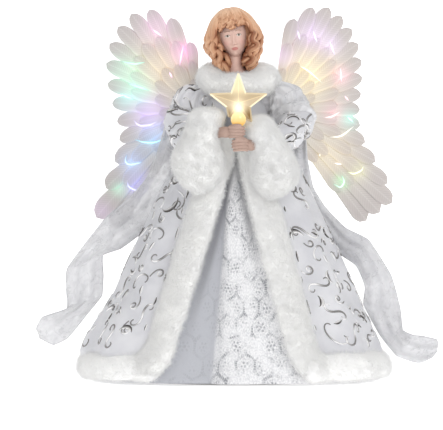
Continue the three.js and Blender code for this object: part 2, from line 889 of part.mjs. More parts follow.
function batteryBox() {
  const shell = block([-boxHalfWidth, boxFront, boxFoot], [boxHalfWidth, boxBack, boxTop]);
  const cellRoom = block(
    [-boxHalfWidth + boxWall, boxFront - 1, cellRoomFoot],
    [boxHalfWidth - boxWall, boxBack - boxWall, cellRoomTop],
  );
  const switchRoom = block(
    [-boxHalfWidth + boxWall, boxFront - 1, boxFoot + boxWall],
    [boxHalfWidth - boxWall, boxBack - boxWall, cellRoomFoot - boxWall],
  );
  const slotHalf = (switchNubLength + switchTravel) / 2 + clearance;
  const slotDepth = switchNubWidth / 2 + clearance;
  const slot = block(
    [-slotHalf, boxMiddle - slotDepth, boxFoot - 1],
    [slotHalf, boxMiddle + slotDepth, boxFoot + boxWall + 1],
  );
  const reach = 2 * (doorBarrelRadius + clearance);
  const ears = [-1, 1].map((sign) => {
    const ends = [sign * doorEarInner, sign * (doorEarInner + doorEarWidth)].sort((a, b) => a - b);
    return block([ends[0], boxFront - reach, boxTop - reach], [ends[1], boxFront + 1, boxTop]);
  });
  const pinHole = rod(
    [-boxHalfWidth, ...doorAxis],
    [boxHalfWidth, ...doorAxis],
    doorPinRadius + clearance,
    10,
  );
  const screwHoles = [-boxScrewSpacing, boxScrewSpacing].map((x) =>
    rod([x, boxMiddle, boxTop - boxScrewDepth], [x, boxMiddle, boxTop + 1], screwRadius + clearance, 12),
  );
  const leadHole = rod(
    [0, boxMiddle, boxTop - boxScrewDepth],
    [0, boxMiddle, boxTop + 1],
    leadRadius + clearance,
    10,
  );
  return cut(join(shell, ...ears), cellRoom, switchRoom, slot, pinHole, ...screwHoles, leadHole);
}

function batteryDoor() {
  const half = doorEarInner - clearance;
  const earCorner = (doorBarrelRadius + clearance) * Math.SQRT2;
  const plate = block(
    [-boxHalfWidth, boxFront - clearance - doorThickness, boxFoot + clearance],
    [boxHalfWidth, boxFront - clearance, doorAxis[1] - earCorner - 2 * clearance],
  );
  const hanger = block(
    [-half, boxFront - clearance - doorThickness, boxFoot + 2],
    [half, boxFront - clearance, doorAxis[1]],
  );
  const barrel = rod([-half, ...doorAxis], [half, ...doorAxis], doorBarrelRadius, 14);
  const bore = rod([-half - 1, ...doorAxis], [half + 1, ...doorAxis], doorPinRadius + clearance, 10);
  return cut(join(plate, hanger, barrel), bore);
}

function doorPin() {
  const half = boxHalfWidth - doorEarInset;
  return rod([-half, ...doorAxis], [half, ...doorAxis], doorPinRadius, 10);
}

function batteryCell(index) {
  const x = (index - (cellCount - 1) / 2) * cellPitch;
  const foot = cellRoomFoot + stripThickness + 2 * clearance;
  const up = index % 2 === 0;
  const profile = [
    [0, 0],
    [cellRadius, 0],
    [cellRadius, cellLength],
    [cellNubRadius, cellLength],
    [cellNubRadius, cellSpan],
    [0, cellSpan],
  ];
  const body = turned(profile, 12);
  if (!up) {
    body.rotateX(Math.PI).translate(0, 0, cellSpan);
  }
  return body.translate(x, boxMiddle, foot);
}

function contactStrip(foot) {
  const half = boxHalfWidth - boxWall - clearance;
  return block(
    [-half, boxMiddle - stripDepth / 2, foot],
    [half, boxMiddle + stripDepth / 2, foot + stripThickness],
  );
}

function powerSwitch() {
  const middle = -switchTravel / 2;
  const half = switchNubLength / 2;
  const nub = block(
    [middle - half, boxMiddle - switchNubWidth / 2, boxFoot - switchNubReach],
    [middle + half, boxMiddle + switchNubWidth / 2, boxFoot + boxWall + clearance + 0.5],
  );
  const flangeHalf = half + switchFlange + switchTravel;
  const flangeDepth = switchNubWidth / 2 + switchFlange;
  const flangeFoot = boxFoot + boxWall + clearance;
  const flange = block(
    [middle - flangeHalf, boxMiddle - flangeDepth, flangeFoot],
    [middle + flangeHalf, boxMiddle + flangeDepth, flangeFoot + switchFlangeThickness],
  );
  return join(nub, flange);
}

// Screw along +Z with its head on top, its seat at the given height
function screw(length) {
  return turned(
    [
      [0, -length],
      [screwRadius, -length],
      [screwRadius, 0],
      [screwHeadRadius, 0],
      [screwHeadRadius, screwHeadThickness],
      [0, screwHeadThickness],
    ],
    8,
  );
}

const housingFoot = deckTop + clearance;
const housingTop = housingFoot + housingRise;
const lampDepth = housingFront + housingDepth / 2;
const boardFoot = housingFoot + 0.2;
const lampFoot = boardFoot + boardThickness + clearance;
const ferruleFoot = housingTop - 5;

function lightHousing() {
  const shell = block(
    [-housingHalfWidth, housingFront, housingFoot],
    [housingHalfWidth, housingFront + housingDepth, housingTop],
  );
  const room = block(
    [-housingHalfWidth + housingWall, housingFront + housingWall, housingFoot - 1],
    [housingHalfWidth - housingWall, housingFront + housingDepth - housingWall, housingTop - housingWall],
  );
  const holes = [-lampSpacing, lampSpacing].map((x) =>
    rod(
      [x, lampDepth, housingTop - housingWall - 1],
      [x, lampDepth, housingTop + 1],
      bundleRadius + ferruleWall + 2 * clearance,
      16,
    ),
  );
  return cut(shell, room, ...holes);
}

function lampBoard() {
  const inset = housingWall + clearance;
  return block(
    [-housingHalfWidth + inset, housingFront + inset, boardFoot],
    [housingHalfWidth - inset, housingFront + housingDepth - inset, boardFoot + boardThickness],
  );
}

function fibreLamp(sign) {
  const dome = lampRadius * 0.7;
  return turned(
    [
      [0, 0],
      [lampRadius, 0],
      [lampRadius, lampRise - lampRadius],
      [dome, lampRise - lampRadius * 0.3],
      [0, lampRise],
    ],
    12,
  ).translate(sign * lampSpacing, lampDepth, lampFoot);
}

function fibreFerrule(sign) {
  const bore = bundleRadius + clearance;
  const outer = bore + ferruleWall;
  const seat = housingTop + clearance - ferruleFoot;
  return turned(
    [
      [bore, 0],
      [outer, 0],
      [outer, seat],
      [ferruleFlangeRadius, seat],
      [ferruleFlangeRadius, seat + 2],
      [outer, seat + 2],
      [outer, ferruleLength],
      [bore, ferruleLength],
      [bore, 0],
    ],
    10,
  ).translate(sign * lampSpacing, lampDepth, ferruleFoot);
}

function fibreBundle(sign) {
  const ferruleTop = ferruleFoot + ferruleLength;
  const rise = (share) => lerp(ferruleTop, bracketHeight, share);
  const inward = (share, z) => share * coneRadius(z);
  return tube(
    [
      [sign * lampSpacing, lampDepth, lampFoot + lampRise + 1],
      [sign * lampSpacing, lampDepth, ferruleTop],
      [sign * lampSpacing, lampDepth - 4, rise(0.42)],
      [sign * lerp(bundleSpacing, lampSpacing, 0.33), inward(0.47, rise(0.76)), rise(0.76)],
      [sign * bundleSpacing, inward(0.5, rise(0.91)), rise(0.91)],
      [sign * bundleSpacing, inward(0.75, rise(0.98)), rise(0.98)],
      [sign * bundleSpacing, inward(1.12, bracketHeight), bracketHeight],
      [sign * bundleSpacing, bracketFace + bracketThickness, bracketHeight],
    ],
    bundleRadius,
    6,
    15,
  );
}

// Power lead: from the top of the battery box through the deck to the lamp board
function powerLead() {
  const foot = boxTop - boxScrewDepth + clearance;
  return rod([0, boxMiddle, foot], [0, boxMiddle, boardFoot - clearance], leadRadius, 8);
}

// Hair: a shell over the head, open at the face, full at the sides and longest below the ears
function hair() {
  const edgeOf = (turn) => {
    const below = Math.max(0, -Math.sin(turn));
    return radians(faceSpread - fringeDrop * Math.max(0, Math.sin(turn)) + napeSpread * below ** 2);
  };
  const surface = (outer) => (u, v) => {
    const turn = 2 * Math.PI * u;
    const tilt = lerp(edgeOf(turn), Math.PI, v);
    const way = [Math.sin(tilt) * Math.cos(turn), -Math.cos(tilt), Math.sin(tilt) * Math.sin(turn)];
    const head = 1 / Math.hypot(...way.map((part, k) => part / headHalf[k]));
    const sideways = Math.abs(Math.cos(turn));
    const below = Math.max(0, -Math.sin(turn));
    const spread = Math.min(1, 1.4 * Math.sin(tilt));
    const full = hairTop + (hairSide * sideways ** 3 + hairLength * below * sideways ** 2) * spread;
    const curl = hairCurl * Math.cos(7 * turn) * Math.cos(5 * tilt) * Math.sin(Math.PI * v);
    const rise = outer ? 1.2 + full * Math.min(1, 3 * v) ** 0.6 + curl : 0;
    return way.map((part) => part * (head + clearance + facetRoom + rise));
  };
  const shell = slab(surface(true), surface(false), 24, 8, true);
  shell.rotateY(radians(headTilt)).translate(...headCentre);
  return cut(shell, bustBody(clearance), collarBody(clearance));
}

// Palm and wrist of a hand, which come out of the cuff
function handRoot(side, grow) {
  const sign = signOf[side];
  const height = wristHeight[side];
  const heel = stemAxis[0] + sign * (stemRadius + palmHalf[0] * 0.9);
  const palm = ball(palmHalf.map((half) => half + grow), [heel, stemAxis[1] + 3, height], 9, 6);
  const start = [sign * (wristOut - 4 * clearance + grow), wristForward - 0.4, height];
  return join(palm, rod(start, [heel, stemAxis[1] + 3, height], wristRadius + grow, 10));
}

function hand(side) {
  const sign = signOf[side];
  const height = wristHeight[side];
  const grip = stemRadius + clearance + fingerRadius;
  const fingers = [];
  for (let k = 0; k < fingerCount; k += 1) {
    const z = height + (k - (fingerCount - 1) / 2) * fingerPitch;
    const reach = 230 - 12 * Math.abs(k - 1.4);
    const points = [0, 0.25, 0.5, 0.75, 1].map((share) => {
      const angle = radians(lerp(-20, reach - 20, share));
      return [
        stemAxis[0] + sign * grip * Math.cos(angle),
        stemAxis[1] - grip * Math.sin(angle),
        z,
      ];
    });
    fingers.push(tube(points, fingerRadius, 5, 4));
  }
  const stem = rod(
    [...stemAxis, stemFoot - 2],
    [...stemAxis, starCentreHeight],
    stemRadius + clearance,
    12,
  );
  return cut(join(handRoot(side, 0), ...fingers), stem);
}

function starStem() {
  return turned(
    [
      [0, stemFoot],
      [stemRadius, stemFoot],
      [stemRadius, stemTop],
      [0, stemTop],
    ],
    12,
  ).translate(...stemAxis, 0);
}

const starLampHeight = stemTop + clearance + starLampRadius * 0.94;

function starLamp(grow) {
  const body = ball(
    [starLampRadius + grow, starLampRadius + grow, starLampRadius + grow],
    [...stemAxis, starLampHeight],
    10,
    7,
  );
  const flat = block(
    [stemAxis[0] - 20, stemAxis[1] - 20, stemTop - 40],
    [stemAxis[0] + 20, stemAxis[1] + 20, stemTop + clearance],
  );
  return cut(body, flat);
}

// Five-pointed star: a low pyramid on each face over a thin rim
function starShell() {
  const points = [];
  const faces = [];
  const corners = 10;
  for (let k = 0; k < corners; k += 1) {
    const reach = starRadius * (k % 2 === 0 ? 1 : starNotch);
    const angle = (2 * Math.PI * k) / corners;
    for (const depth of [-starRim / 2, starRim / 2]) {
      points.push(
        stemAxis[0] + reach * Math.sin(angle),
        stemAxis[1] + depth,
        starCentreHeight + reach * Math.cos(angle),
      );
    }
  }
  points.push(stemAxis[0], stemAxis[1] - starHalfDepth, starCentreHeight);
  points.push(stemAxis[0], stemAxis[1] + starHalfDepth, starCentreHeight);
  for (let k = 0; k < corners; k += 1) {
    const next = (k + 1) % corners;
    faces.push(2 * corners, 2 * k, 2 * next);
    faces.push(2 * corners + 1, 2 * next + 1, 2 * k + 1);
    faces.push(2 * k, 2 * k + 1, 2 * next + 1);
    faces.push(2 * k, 2 * next + 1, 2 * next);
  }
  return cut(meshFrom(points, faces), starLamp(clearance));
}

function gown() {
  const height = (v) => lerp(gownFoot, gownTop, v);
  const outer = (u, v) => around(2 * Math.PI * u, gownOuter(2 * Math.PI * u, height(v)), height(v));
  const inner = (u, v) => around(2 * Math.PI * u, gownOuter(2 * Math.PI * u, height(v)) - cloth, height(v));
  const skirt = slab(outer, inner, gownFolds * 4, 4, true);
  return cut(skirt, bracketWindow(), chestHole(), armHole("right"), armHole("left"));
}

function coat() {
  const height = (v) => lerp(hemTop + clearance, coatTop, v);
  const surface = (inset) => (u, v) => {
    const z = height(v);
    const angle = coatAngle(u, z);
    return around(angle, coatOuter(angle, z) - inset, z);
  };
  const sheet = slab(surface(0), surface(cloth), 42, 6);
  return cut(sheet, bracketWindow(), armHole("right"), armHole("left"));
}

function frontTrim(side, grow) {
  const sign = signOf[side];
  const surface = (fur) => (u, v) => {
    const z = lerp(hemFoot - grow, trimTop + grow, v);
    const spread = grow / coatMean(0, z);
    const first = openingAngle(sign, z, 0) - sign * spread;
    const last = openingAngle(sign, z, trimWidth) + sign * spread;
    const angle = lerp(first, last, u);
    const pile = fur * (trimEdge + trimFur * Math.sin(Math.PI * u) + grow) - (1 - fur) * grow;
    return around(angle, lining(angle, z) + pile, z);
  };
  return slab(surface(1), surface(0), 5, 9);
}

function hemTrim() {
  const surface = (fur) => (u, v) => {
    const z = lerp(hemFoot, hemTop, v);
    const angle = coatAngle(u, z);
    const edge = foldedCoat(angle, z) + sideFlare(angle, z) * v;
    const pile = edge + trimGap + hemFur * Math.sin(Math.PI * v);
    return around(angle, fur ? pile : lining(angle, z), z);
  };
  return slab(surface(true), surface(false), 44, 3);
}

function sleeve(side) {
  const shell = slab(sleeveSurface(side, 0), sleeveSurface(side, cloth), 14, 8, true);
  return cut(shell, coatCore(clearance), collarBody(clearance), cuffBody(side, clearance));
}

// Everything inside the sleeve's outer face, with room to spare
function sleeveCore(side) {
  return slab(sleeveSurface(side, -clearance), sleeveSurface(side, Infinity), 14, 8, true);
}

// Cuff seated on the front trim and bored for the arm
function cuff(side) {
  const trims = [frontTrim("right", clearance), frontTrim("left", clearance)];
  return cut(cuffBody(side, 0), ...trims, armRod(side, clearance), handRoot(side, clearance));
}

// Scarf: a ribbon carried along its run, waved a little across its width
function scarf(side) {
  const run = scarfRuns[side];
  const middle = curveThrough(run.map(([[x, y, share]]) => [x, y, share * coneHeight]));
  const spread = curveThrough(run.map(([, half]) => half));
  const surface = (lift) => (u, v) => {
    const along = middle.getPoint(u);
    const half = spread.getPoint(u);
    const across = 2 * v - 1;
    const normal = middle.getTangent(u).cross(half).normalize();
    const wave = 1.6 * Math.sin(Math.PI * across) * Math.sin(5 * Math.PI * u);
    return along.addScaledVector(half, across).addScaledVector(normal, wave + lift).toArray();
  };
  const sheet = slab(surface(ribbon / 2), surface(-ribbon / 2), 32, 3);
  return cut(sheet, sleeveCore(side));
}

// Assembly
add("body_cone", bodyCone(), "mould");
add("inner_deck", innerDeck(), "mould");
add("tree_socket", treeSocket(), "mould");
add("battery_box", batteryBox(), "mould");
add("battery_door", batteryDoor(), "mould");
add("door_pin", doorPin(), "steel");
for (let k = 0; k < cellCount; k += 1) {
  add(`battery_cell_${k + 1}`, batteryCell(k), "cell");
}
add("lower_contact_strip", contactStrip(cellRoomFoot + clearance), "steel");
add("upper_contact_strip", contactStrip(cellRoomTop - clearance - stripThickness), "steel");
add("power_switch", powerSwitch(), "mould");
[-boxScrewSpacing, boxScrewSpacing].forEach((x, k) => {
  const length = deckThickness + clearance + boxScrewDepth;
  add(`box_screw_${k + 1}`, screw(length).translate(x, boxMiddle, deckTop + clearance), "steel");
});
add("light_housing", lightHousing(), "mould");
add("lamp_board", lampBoard(), "board");
add("power_lead", powerLead(), "lead");
add("star_lead", tube(starLeadPoints(), leadRadius, 6, 18), "lead");
add("wing_bracket", wingBracket(), "mould");
bracketScrewHeights().forEach((z, k) => {
  const seat = bracketFace + bracketThickness + clearance;
  const length = seat - coneRadius(z) + coneWall + 1.5;
  add(`bracket_screw_${k + 1}`, screw(length).rotateX(-Math.PI / 2).translate(0, seat, z), "steel");
});
for (const side of ["right", "left"]) {
  const sign = signOf[side];
  add(`${side}_fibre_lamp`, fibreLamp(sign), "glow");
  add(`${side}_fibre_ferrule`, fibreFerrule(sign), "steel");
  add(`${side}_fibre_bundle`, fibreBundle(sign), "fibre");
  const pin = turned(
    [
      [0, bracketFoot - 1],
      [pinRadius, bracketFoot - 1],
      [pinRadius, bracketHead + clearance],
      [pinHeadRadius, bracketHead + clearance],
      [pinHeadRadius, bracketHead + clearance + pinHeadThickness],
      [0, bracketHead + clearance + pinHeadThickness],
    ],
    8,
  );
  add(`${side}_wing_pin`, pin.translate(sign * hingeSpacing, hingeDepth, 0), "steel");
  add(`${side}_wing_frame`, wingFrame(side), "mould", wings[side]);
  for (const layer of Object.keys(featherLayers)) {
    add(`${side}_${layer}_feathers`, featherFan(side, layer), "feather", wings[side]);
  }
  wings[side].position.set(sign * hingeSpacing, hingeDepth, bracketHeight);
  wings[side].rotation.z = sign * radians(wingSweep);
  model.add(wings[side]);
}
add("head", join(headBall(0), bustBody(0)), "skin");
add("hair", hair(), "hair");
add("collar", cut(collarBody(0), bustBody(clearance), coatCore(clearance)), "fur");
add("gown", gown(), "lace");
add("coat", coat(), "satin");
add("hem_trim", hemTrim(), "fur");
for (const side of ["right", "left"]) {
  add(`${side}_front_trim`, frontTrim(side, 0), "fur");
  add(`${side}_arm`, armRod(side, 0), "steel");
  add(`${side}_hand`, hand(side), "skin");
  add(`${side}_sleeve`, sleeve(side), "satin");
  add(`${side}_cuff`, cuff(side), "fur");
  add(`${side}_scarf`, scarf(side), "organza");
}
add("star_stem", starStem(), "mould");
add("star_lamp", starLamp(0), "glow");
add("star_shell", starShell(), "amber");

export default model;
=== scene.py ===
import bpy
import numpy as np
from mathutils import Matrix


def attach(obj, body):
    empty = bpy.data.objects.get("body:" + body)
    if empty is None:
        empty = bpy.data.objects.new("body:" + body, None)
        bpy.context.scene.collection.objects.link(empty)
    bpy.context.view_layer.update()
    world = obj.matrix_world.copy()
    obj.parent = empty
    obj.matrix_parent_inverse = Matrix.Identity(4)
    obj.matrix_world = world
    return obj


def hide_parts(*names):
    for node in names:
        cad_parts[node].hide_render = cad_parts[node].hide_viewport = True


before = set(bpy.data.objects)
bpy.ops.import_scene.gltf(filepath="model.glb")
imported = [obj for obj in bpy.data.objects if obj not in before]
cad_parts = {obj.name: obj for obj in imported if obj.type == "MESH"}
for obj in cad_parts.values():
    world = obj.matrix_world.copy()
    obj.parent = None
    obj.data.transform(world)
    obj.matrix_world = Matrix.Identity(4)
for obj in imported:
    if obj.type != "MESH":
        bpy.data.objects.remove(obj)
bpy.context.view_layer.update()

mm = 0.001
up = np.array([0.0, 0.0, 1.0])
signs = {"right": -1.0, "left": 1.0}


# numbers and curves

def unit(v):  # a vector over its length
    return v / np.maximum(np.linalg.norm(v, axis=-1, keepdims=True), 1e-9)


def lerp(a, b, t):  # a and the share t of the way to b
    a, b = np.asarray(a), np.asarray(b)
    return a + (b - a) * t


def ramp(low, high, x):  # smooth step from 0 at low to 1 at high
    t = np.clip((x - low) / (high - low), 0, 1)
    return t * t * (3 - 2 * t)


def bell(x, width):  # 1 in the middle, falling with the square of x over the width
    return np.exp(-(x / width) ** 2)


def circle(count):  # equal steps round a circle
    return np.arange(count) * 2 * np.pi / count


def spline(points, t):  # Catmull-Rom curve through the rows of points, t from 0 to 1
    points = np.asarray(points, float)
    last = len(points) - 1
    place = np.clip(t, 0, 1) * last
    i = np.minimum(place.astype(int), last - 1)
    f = (place - i).reshape((-1,) + (1,) * (points.ndim - 1))
    ends = [[2 * points[0] - points[1]], points, [2 * points[-1] - points[-2]]]
    a, b, c, d = [np.concatenate(ends)[i + k] for k in range(4)]
    return b + 0.5 * f * (c - a + f * (2 * a - 5 * b + 4 * c - d + f * (3 * (b - c) + d - a)))


def waves(places, size, seed, count=7):  # seeded sum of plane waves about one size, roughly -1 to 1
    rng = np.random.default_rng(seed)
    heads = unit(rng.normal(size=(count, 3))) * rng.uniform(0.7, 1.5, (count, 1)) * 2 * np.pi / size
    return np.sin(places @ heads.T + rng.uniform(0, 2 * np.pi, count)).sum(-1) / (1.1 * np.sqrt(count))


def roundEnds(t, share, least=0.0):  # half width as a share of the full one, a quarter circle at each end
    near = np.clip(np.minimum(t, 1 - t) / share, 0, 1)
    return least + (1 - least) * np.sqrt(1 - (1 - near) ** 2)


# surfaces: each is (vertices, quads, triangles)

noQuads = np.zeros((0, 4), int)
noTris = np.zeros((0, 3), int)


def gridFaces(rows, columns, wrapRows=False, wrapColumns=False):  # quads between the neighbours of a grid
    i = np.arange(rows if wrapRows else rows - 1)[:, None]
    j = np.arange(columns if wrapColumns else columns - 1)[None, :]
    iNext, jNext = (i + 1) % rows, (j + 1) % columns
    corners = [i * columns + j, iNext * columns + j, iNext * columns + jNext, i * columns + jNext]
    return np.stack(corners, -1).reshape(-1, 4)


def slab(outer, inner, wrap=False):  # closed cloth: two grids joined by rims
    rows, columns = outer.shape[:2]
    index = np.arange(rows * columns).reshape(rows, columns)
    shift = rows * columns
    faces = gridFaces(rows, columns, wrap)
    down = np.roll(index, -1, 0) if wrap else index[1:]
    here = index if wrap else index[:-1]
    rims = [(down[:, 0], here[:, 0]), (here[:, -1], down[:, -1])]
    if not wrap:
        rims += [(index[0, :-1], index[0, 1:]), (index[-1, 1:], index[-1, :-1])]
    rims = [np.stack([a, b, b + shift, a + shift], -1) for a, b in rims]
    verts = np.concatenate([outer.reshape(-1, 3), inner.reshape(-1, 3)])
    return verts, np.concatenate([faces, faces[:, ::-1] + shift] + rims), noTris


def poleFans(end, sides, first, last):  # triangles from two rings to their poles
    j = np.arange(sides)
    jNext = (j + 1) % sides
    fans = [(j, jNext, np.full(sides, first)), (end + jNext, end + j, np.full(sides, last))]
    return np.concatenate([np.stack(fan, -1) for fan in fans])


def tubes(paths, across, lift, rise, sides):  # oval tubes along paths (tubes, points, 3), pole at each end
    count, points = paths.shape[:2]
    along = unit(np.gradient(paths, axis=1))
    side = unit(np.cross(along, rise))
    top = np.cross(side, along)
    turn = circle(sides)[:, None]
    wide, tall = [np.broadcast_to(half, (count, points))[..., None, None] for half in (across, lift)]
    aside = wide * np.cos(turn) * side[:, :, None]
    rings = paths[:, :, None] + aside + tall * np.sin(turn) * top[:, :, None]
    verts = np.concatenate([rings.reshape(count, -1, 3), paths[:, :1], paths[:, -1:]], 1)
    size = points * sides + 2
    start = (np.arange(count) * size)[:, None, None]
    quads = gridFaces(points, sides, False, True)[None] + start
    tris = poleFans((points - 1) * sides, sides, size - 2, size - 1)[None] + start
    return verts.reshape(-1, 3), quads.reshape(-1, 4), tris.reshape(-1, 3)


def onBall(grid):  # values of a grid in the order of a ball's vertices
    return np.concatenate([grid[1:-1].reshape(-1, 3), grid[:1, 0], grid[-1:, 0]])


def ball(grid):  # closed surface: rows from pole to pole, columns round; the first and last rows are points
    rows, columns = grid.shape[:2]
    count = (rows - 2) * columns
    tris = poleFans((rows - 3) * columns, columns, count, count + 1)
    return onBall(grid), gridFaces(rows - 2, columns, False, True), tris


def joined(*parts):  # several surfaces as one, with their corners counted on
    shifts = np.cumsum([0] + [len(v) for v, q, t in parts])
    v = np.concatenate([part[0] for part in parts])
    q, t = [np.concatenate([part[k] + shift for part, shift in zip(parts, shifts)]) for k in (1, 2)]
    return v, q, t


def faceOut(surface):  # faces turned over where the signed volume is below zero
    v, q, t = surface
    faces = np.concatenate([q[:, :3], q[:, [0, 2, 3]], t])
    a, b, c = v[faces[:, 0]], v[faces[:, 1]], v[faces[:, 2]]
    inward = (a * np.cross(b, c)).sum() < 0
    return (v, q[:, ::-1], t[:, ::-1]) if inward else surface


def quadSpread(corners):  # cross product of the diagonals: outward, twice as long as the quad is large
    return np.cross(corners[:, 2] - corners[:, 0], corners[:, 3] - corners[:, 1])


def piece(name, surface, look, stands=(), slot=None, body="figure", uv=None, flat=False, **tints):
    v, q, t = faceOut(surface)  # then a mesh with its map, paints, material and body; the slot is not used
    loops = np.concatenate([q.ravel(), t.ravel()]).astype(np.int32)
    starts = np.concatenate([np.arange(len(q)) * 4, 4 * len(q) + np.arange(len(t)) * 3]).astype(np.int32)
    mesh = bpy.data.meshes.new(name)
    mesh.vertices.add(len(v))
    mesh.vertices.foreach_set("co", (v * mm).astype(np.float32).ravel())
    mesh.loops.add(len(loops))
    mesh.loops.foreach_set("vertex_index", loops)
    mesh.polygons.add(len(starts))
    mesh.polygons.foreach_set("loop_start", starts)
    mesh.polygons.foreach_set("use_smooth", np.full(len(starts), not flat))
    if uv is not None:
        mesh.uv_layers.new(name="cloth").data.foreach_set("uv", uv[loops].astype(np.float32).ravel())
    for key, colours in tints.items():
        shade = np.ones((len(v), 4), np.float32)
        shade[:, :3] = colours
        mesh.attributes.new(key, "FLOAT_COLOR", "POINT").data.foreach_set("color", shade.ravel())
    mesh.materials.append(looks[look])
    mesh.update(calc_edges=True)
    made = bpy.data.objects.new(name, mesh)
    bpy.context.scene.collection.objects.link(made)
    slot = slot or look
    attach(made, body)
    if stands:
        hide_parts(*stands)
    return made


def clothPiece(name, outer, inner, look, stands, uv, wrap=False, **tints):  # a slab, its map and paints
    shape = outer.shape[:2]
    flat = np.stack([np.broadcast_to(part, shape) for part in uv], -1).reshape(-1, 2)
    for key, tint in tints.items():
        tints[key] = np.tile(np.broadcast_to(tint, shape).reshape(-1, 1), (2, 3))
    return piece(name, slab(outer, inner, wrap), look, stands, uv=np.tile(flat, (2, 1)), **tints)


# shader groups

def treeOf(values):  # the node tree of the first socket among the values
    return next(value.id_data for value in values if isinstance(value, bpy.types.NodeSocket))


def add(tree, kind, **values):  # a new node with its settings
    node = tree.nodes.new(kind)
    for key, value in values.items():
        setattr(node, key, value)
    return node


def feed(socket, value):  # a link or a number; three numbers are an opaque colour on a colour socket
    if isinstance(value, bpy.types.NodeSocket):
        socket.id_data.links.new(value, socket)
    else:
        socket.default_value = (*value, 1.0) if socket.type == "RGBA" else value


def filled(node, *values):  # the outputs of a node whose inputs take the values in turn
    for socket, value in zip(node.inputs, values):
        feed(socket, value)
    return node.outputs


def calc(operation, *values):  # one number from others
    return filled(add(treeOf(values), "ShaderNodeMath", operation=operation), *values)[0]


def calcVector(operation, *values):  # one vector, or number, from vectors
    outputs = filled(add(treeOf(values), "ShaderNodeVectorMath", operation=operation), *values)
    return outputs["Value" if operation in ("LENGTH", "DOT_PRODUCT") else "Vector"]


def times(a, b):  # product
    return calc("MULTIPLY", a, b)


def split(vector):  # the parts of a vector
    return filled(add(vector.id_data, "ShaderNodeSeparateXYZ"), vector)


def band(value, low, high, start=0.0, end=1.0):  # smooth step of a value
    node = add(value.id_data, "ShaderNodeMapRange", interpolation_type="SMOOTHSTEP")
    return filled(node, value, low, high, start, end)[0]


def newGroup(name, takes, gives):  # an empty group, what it takes and what it gives
    group = bpy.data.node_groups.new(name, "ShaderNodeTree")
    for way, sockets in (("INPUT", takes), ("OUTPUT", gives)):
        for socket in sockets:
            kind = "NodeSocketVector" if socket == "Vector" else "NodeSocketFloat"
            group.interface.new_socket(socket, in_out=way, socket_type=kind)
    return group, add(group, "NodeGroupInput").outputs, add(group, "NodeGroupOutput").inputs


def mottleGroup():  # cloudy value from 0 to 1: noise drawn out by a smooth step
    group, given, result = newGroup("softMottle", ["Vector", "Scale"], ["Value"])
    noise = add(group, "ShaderNodeTexNoise")
    feed(noise.inputs["Vector"], given["Vector"])
    feed(noise.inputs["Scale"], given["Scale"])
    feed(noise.inputs["Detail"], 4)
    feed(result["Value"], band(noise.outputs["Fac"], 0.3, 0.7))
    return group


def weaveGroup():  # over-and-under threads: product of two sines, Threads per unit
    group, given, result = newGroup("threadWeave", ["Vector", "Threads"], ["Height"])
    turns = times(given["Threads"], 2 * np.pi)
    across, along = [calc("SINE", times(part, turns)) for part in split(given["Vector"])[:2]]
    feed(result["Height"], calc("MULTIPLY_ADD", across, along, 0.5))
    return group


def laceGroup():  # medallions on a honeycomb: a chain between them, eyelets and a ring in each
    group, given, result = newGroup("honeycombLace", ["Vector"], ["Chain", "Eyelets", "Ring"])
    tall = np.sqrt(3)
    half = (0.5, 0.5, 0.0)
    share = calcVector("DIVIDE", given["Vector"], (1.0, tall, 1.0))
    nearest = []
    for moved in (share, calcVector("ADD", share, half)):
        offset = calcVector("SUBTRACT", calcVector("FRACTION", moved), half)
        nearest.append(calcVector("MULTIPLY", offset, (1.0, tall, 0.0)))
    far = [calcVector("LENGTH", offset) for offset in nearest]
    pick = add(group, "ShaderNodeMix", data_type="VECTOR")
    for k, value in ((0, calc("LESS_THAN", *far)), (4, nearest[1]), (5, nearest[0])):
        feed(pick.inputs[k], value)
    cell = pick.outputs[1]
    x, y = split(cell)[:2]
    positive = calcVector("ABSOLUTE", cell)
    ways = ((0.5, 0.866, 0.0), (1.0, 0.0, 0.0))
    slanted, level = [calcVector("DOT_PRODUCT", positive, way) for way in ways]
    edge = calc("SMOOTH_MAX", slanted, level, 0.22)
    radius = calcVector("LENGTH", cell)
    angle = calc("ARCTAN2", y, x)
    beads, spots, petals = [calc("COSINE", times(angle, count)) for count in (30.0, 6.0, 12.0)]
    feed(result["Chain"], times(band(edge, 0.415, 0.465), band(beads, -0.6, 0.5, 1.0, 0.35)))
    row = band(calc("ABSOLUTE", calc("SUBTRACT", radius, 0.19)), 0.03, 0.07, 1.0, 0.0)
    eye = band(radius, 0.04, 0.075, 1.0, 0.0)
    feed(result["Eyelets"], calc("MAXIMUM", times(row, band(spots, -0.1, 0.5)), eye))
    ring = calc("ABSOLUTE", calc("SUBTRACT", radius, calc("MULTIPLY_ADD", petals, 0.018, 0.34)))
    feed(result["Ring"], band(ring, 0.015, 0.05, 1.0, 0.0))
    return group


def barbGroup():  # slanting barbs of a feather: one wave along the two slants from the shaft
    group, given, result = newGroup("featherBarbs", ["Vector", "Barbs"], ["Barb", "Shaft"])
    x, y = split(given["Vector"])[:2]
    across = calc("ABSOLUTE", x)
    slant = calc("MULTIPLY_ADD", across, -1.1, y)
    wave = calc("SINE", times(slant, times(given["Barbs"], 2 * np.pi)))
    feed(result["Barb"], calc("MULTIPLY_ADD", wave, 0.5, 0.5))
    feed(result["Shaft"], band(across, 0.2, 0.9, 1.0, 0.0))
    return group


groups = dict(mottle=mottleGroup(), weave=weaveGroup(), lace=laceGroup(), barbs=barbGroup())


# materials

def newMaterial(name, values):  # a Principled material, its tree and its sockets
    made = bpy.data.materials.new(name)
    made.use_nodes = True
    sockets = made.node_tree.nodes["Principled BSDF"].inputs
    for key, value in values.items():
        feed(sockets[key], value)
    return made, made.node_tree, sockets


def use(group, **values):  # what a shared group gives for the values
    node = add(treeOf(values.values()), "ShaderNodeGroup", node_tree=groups[group])
    for key, value in values.items():
        feed(node.inputs[key], value)
    return node.outputs


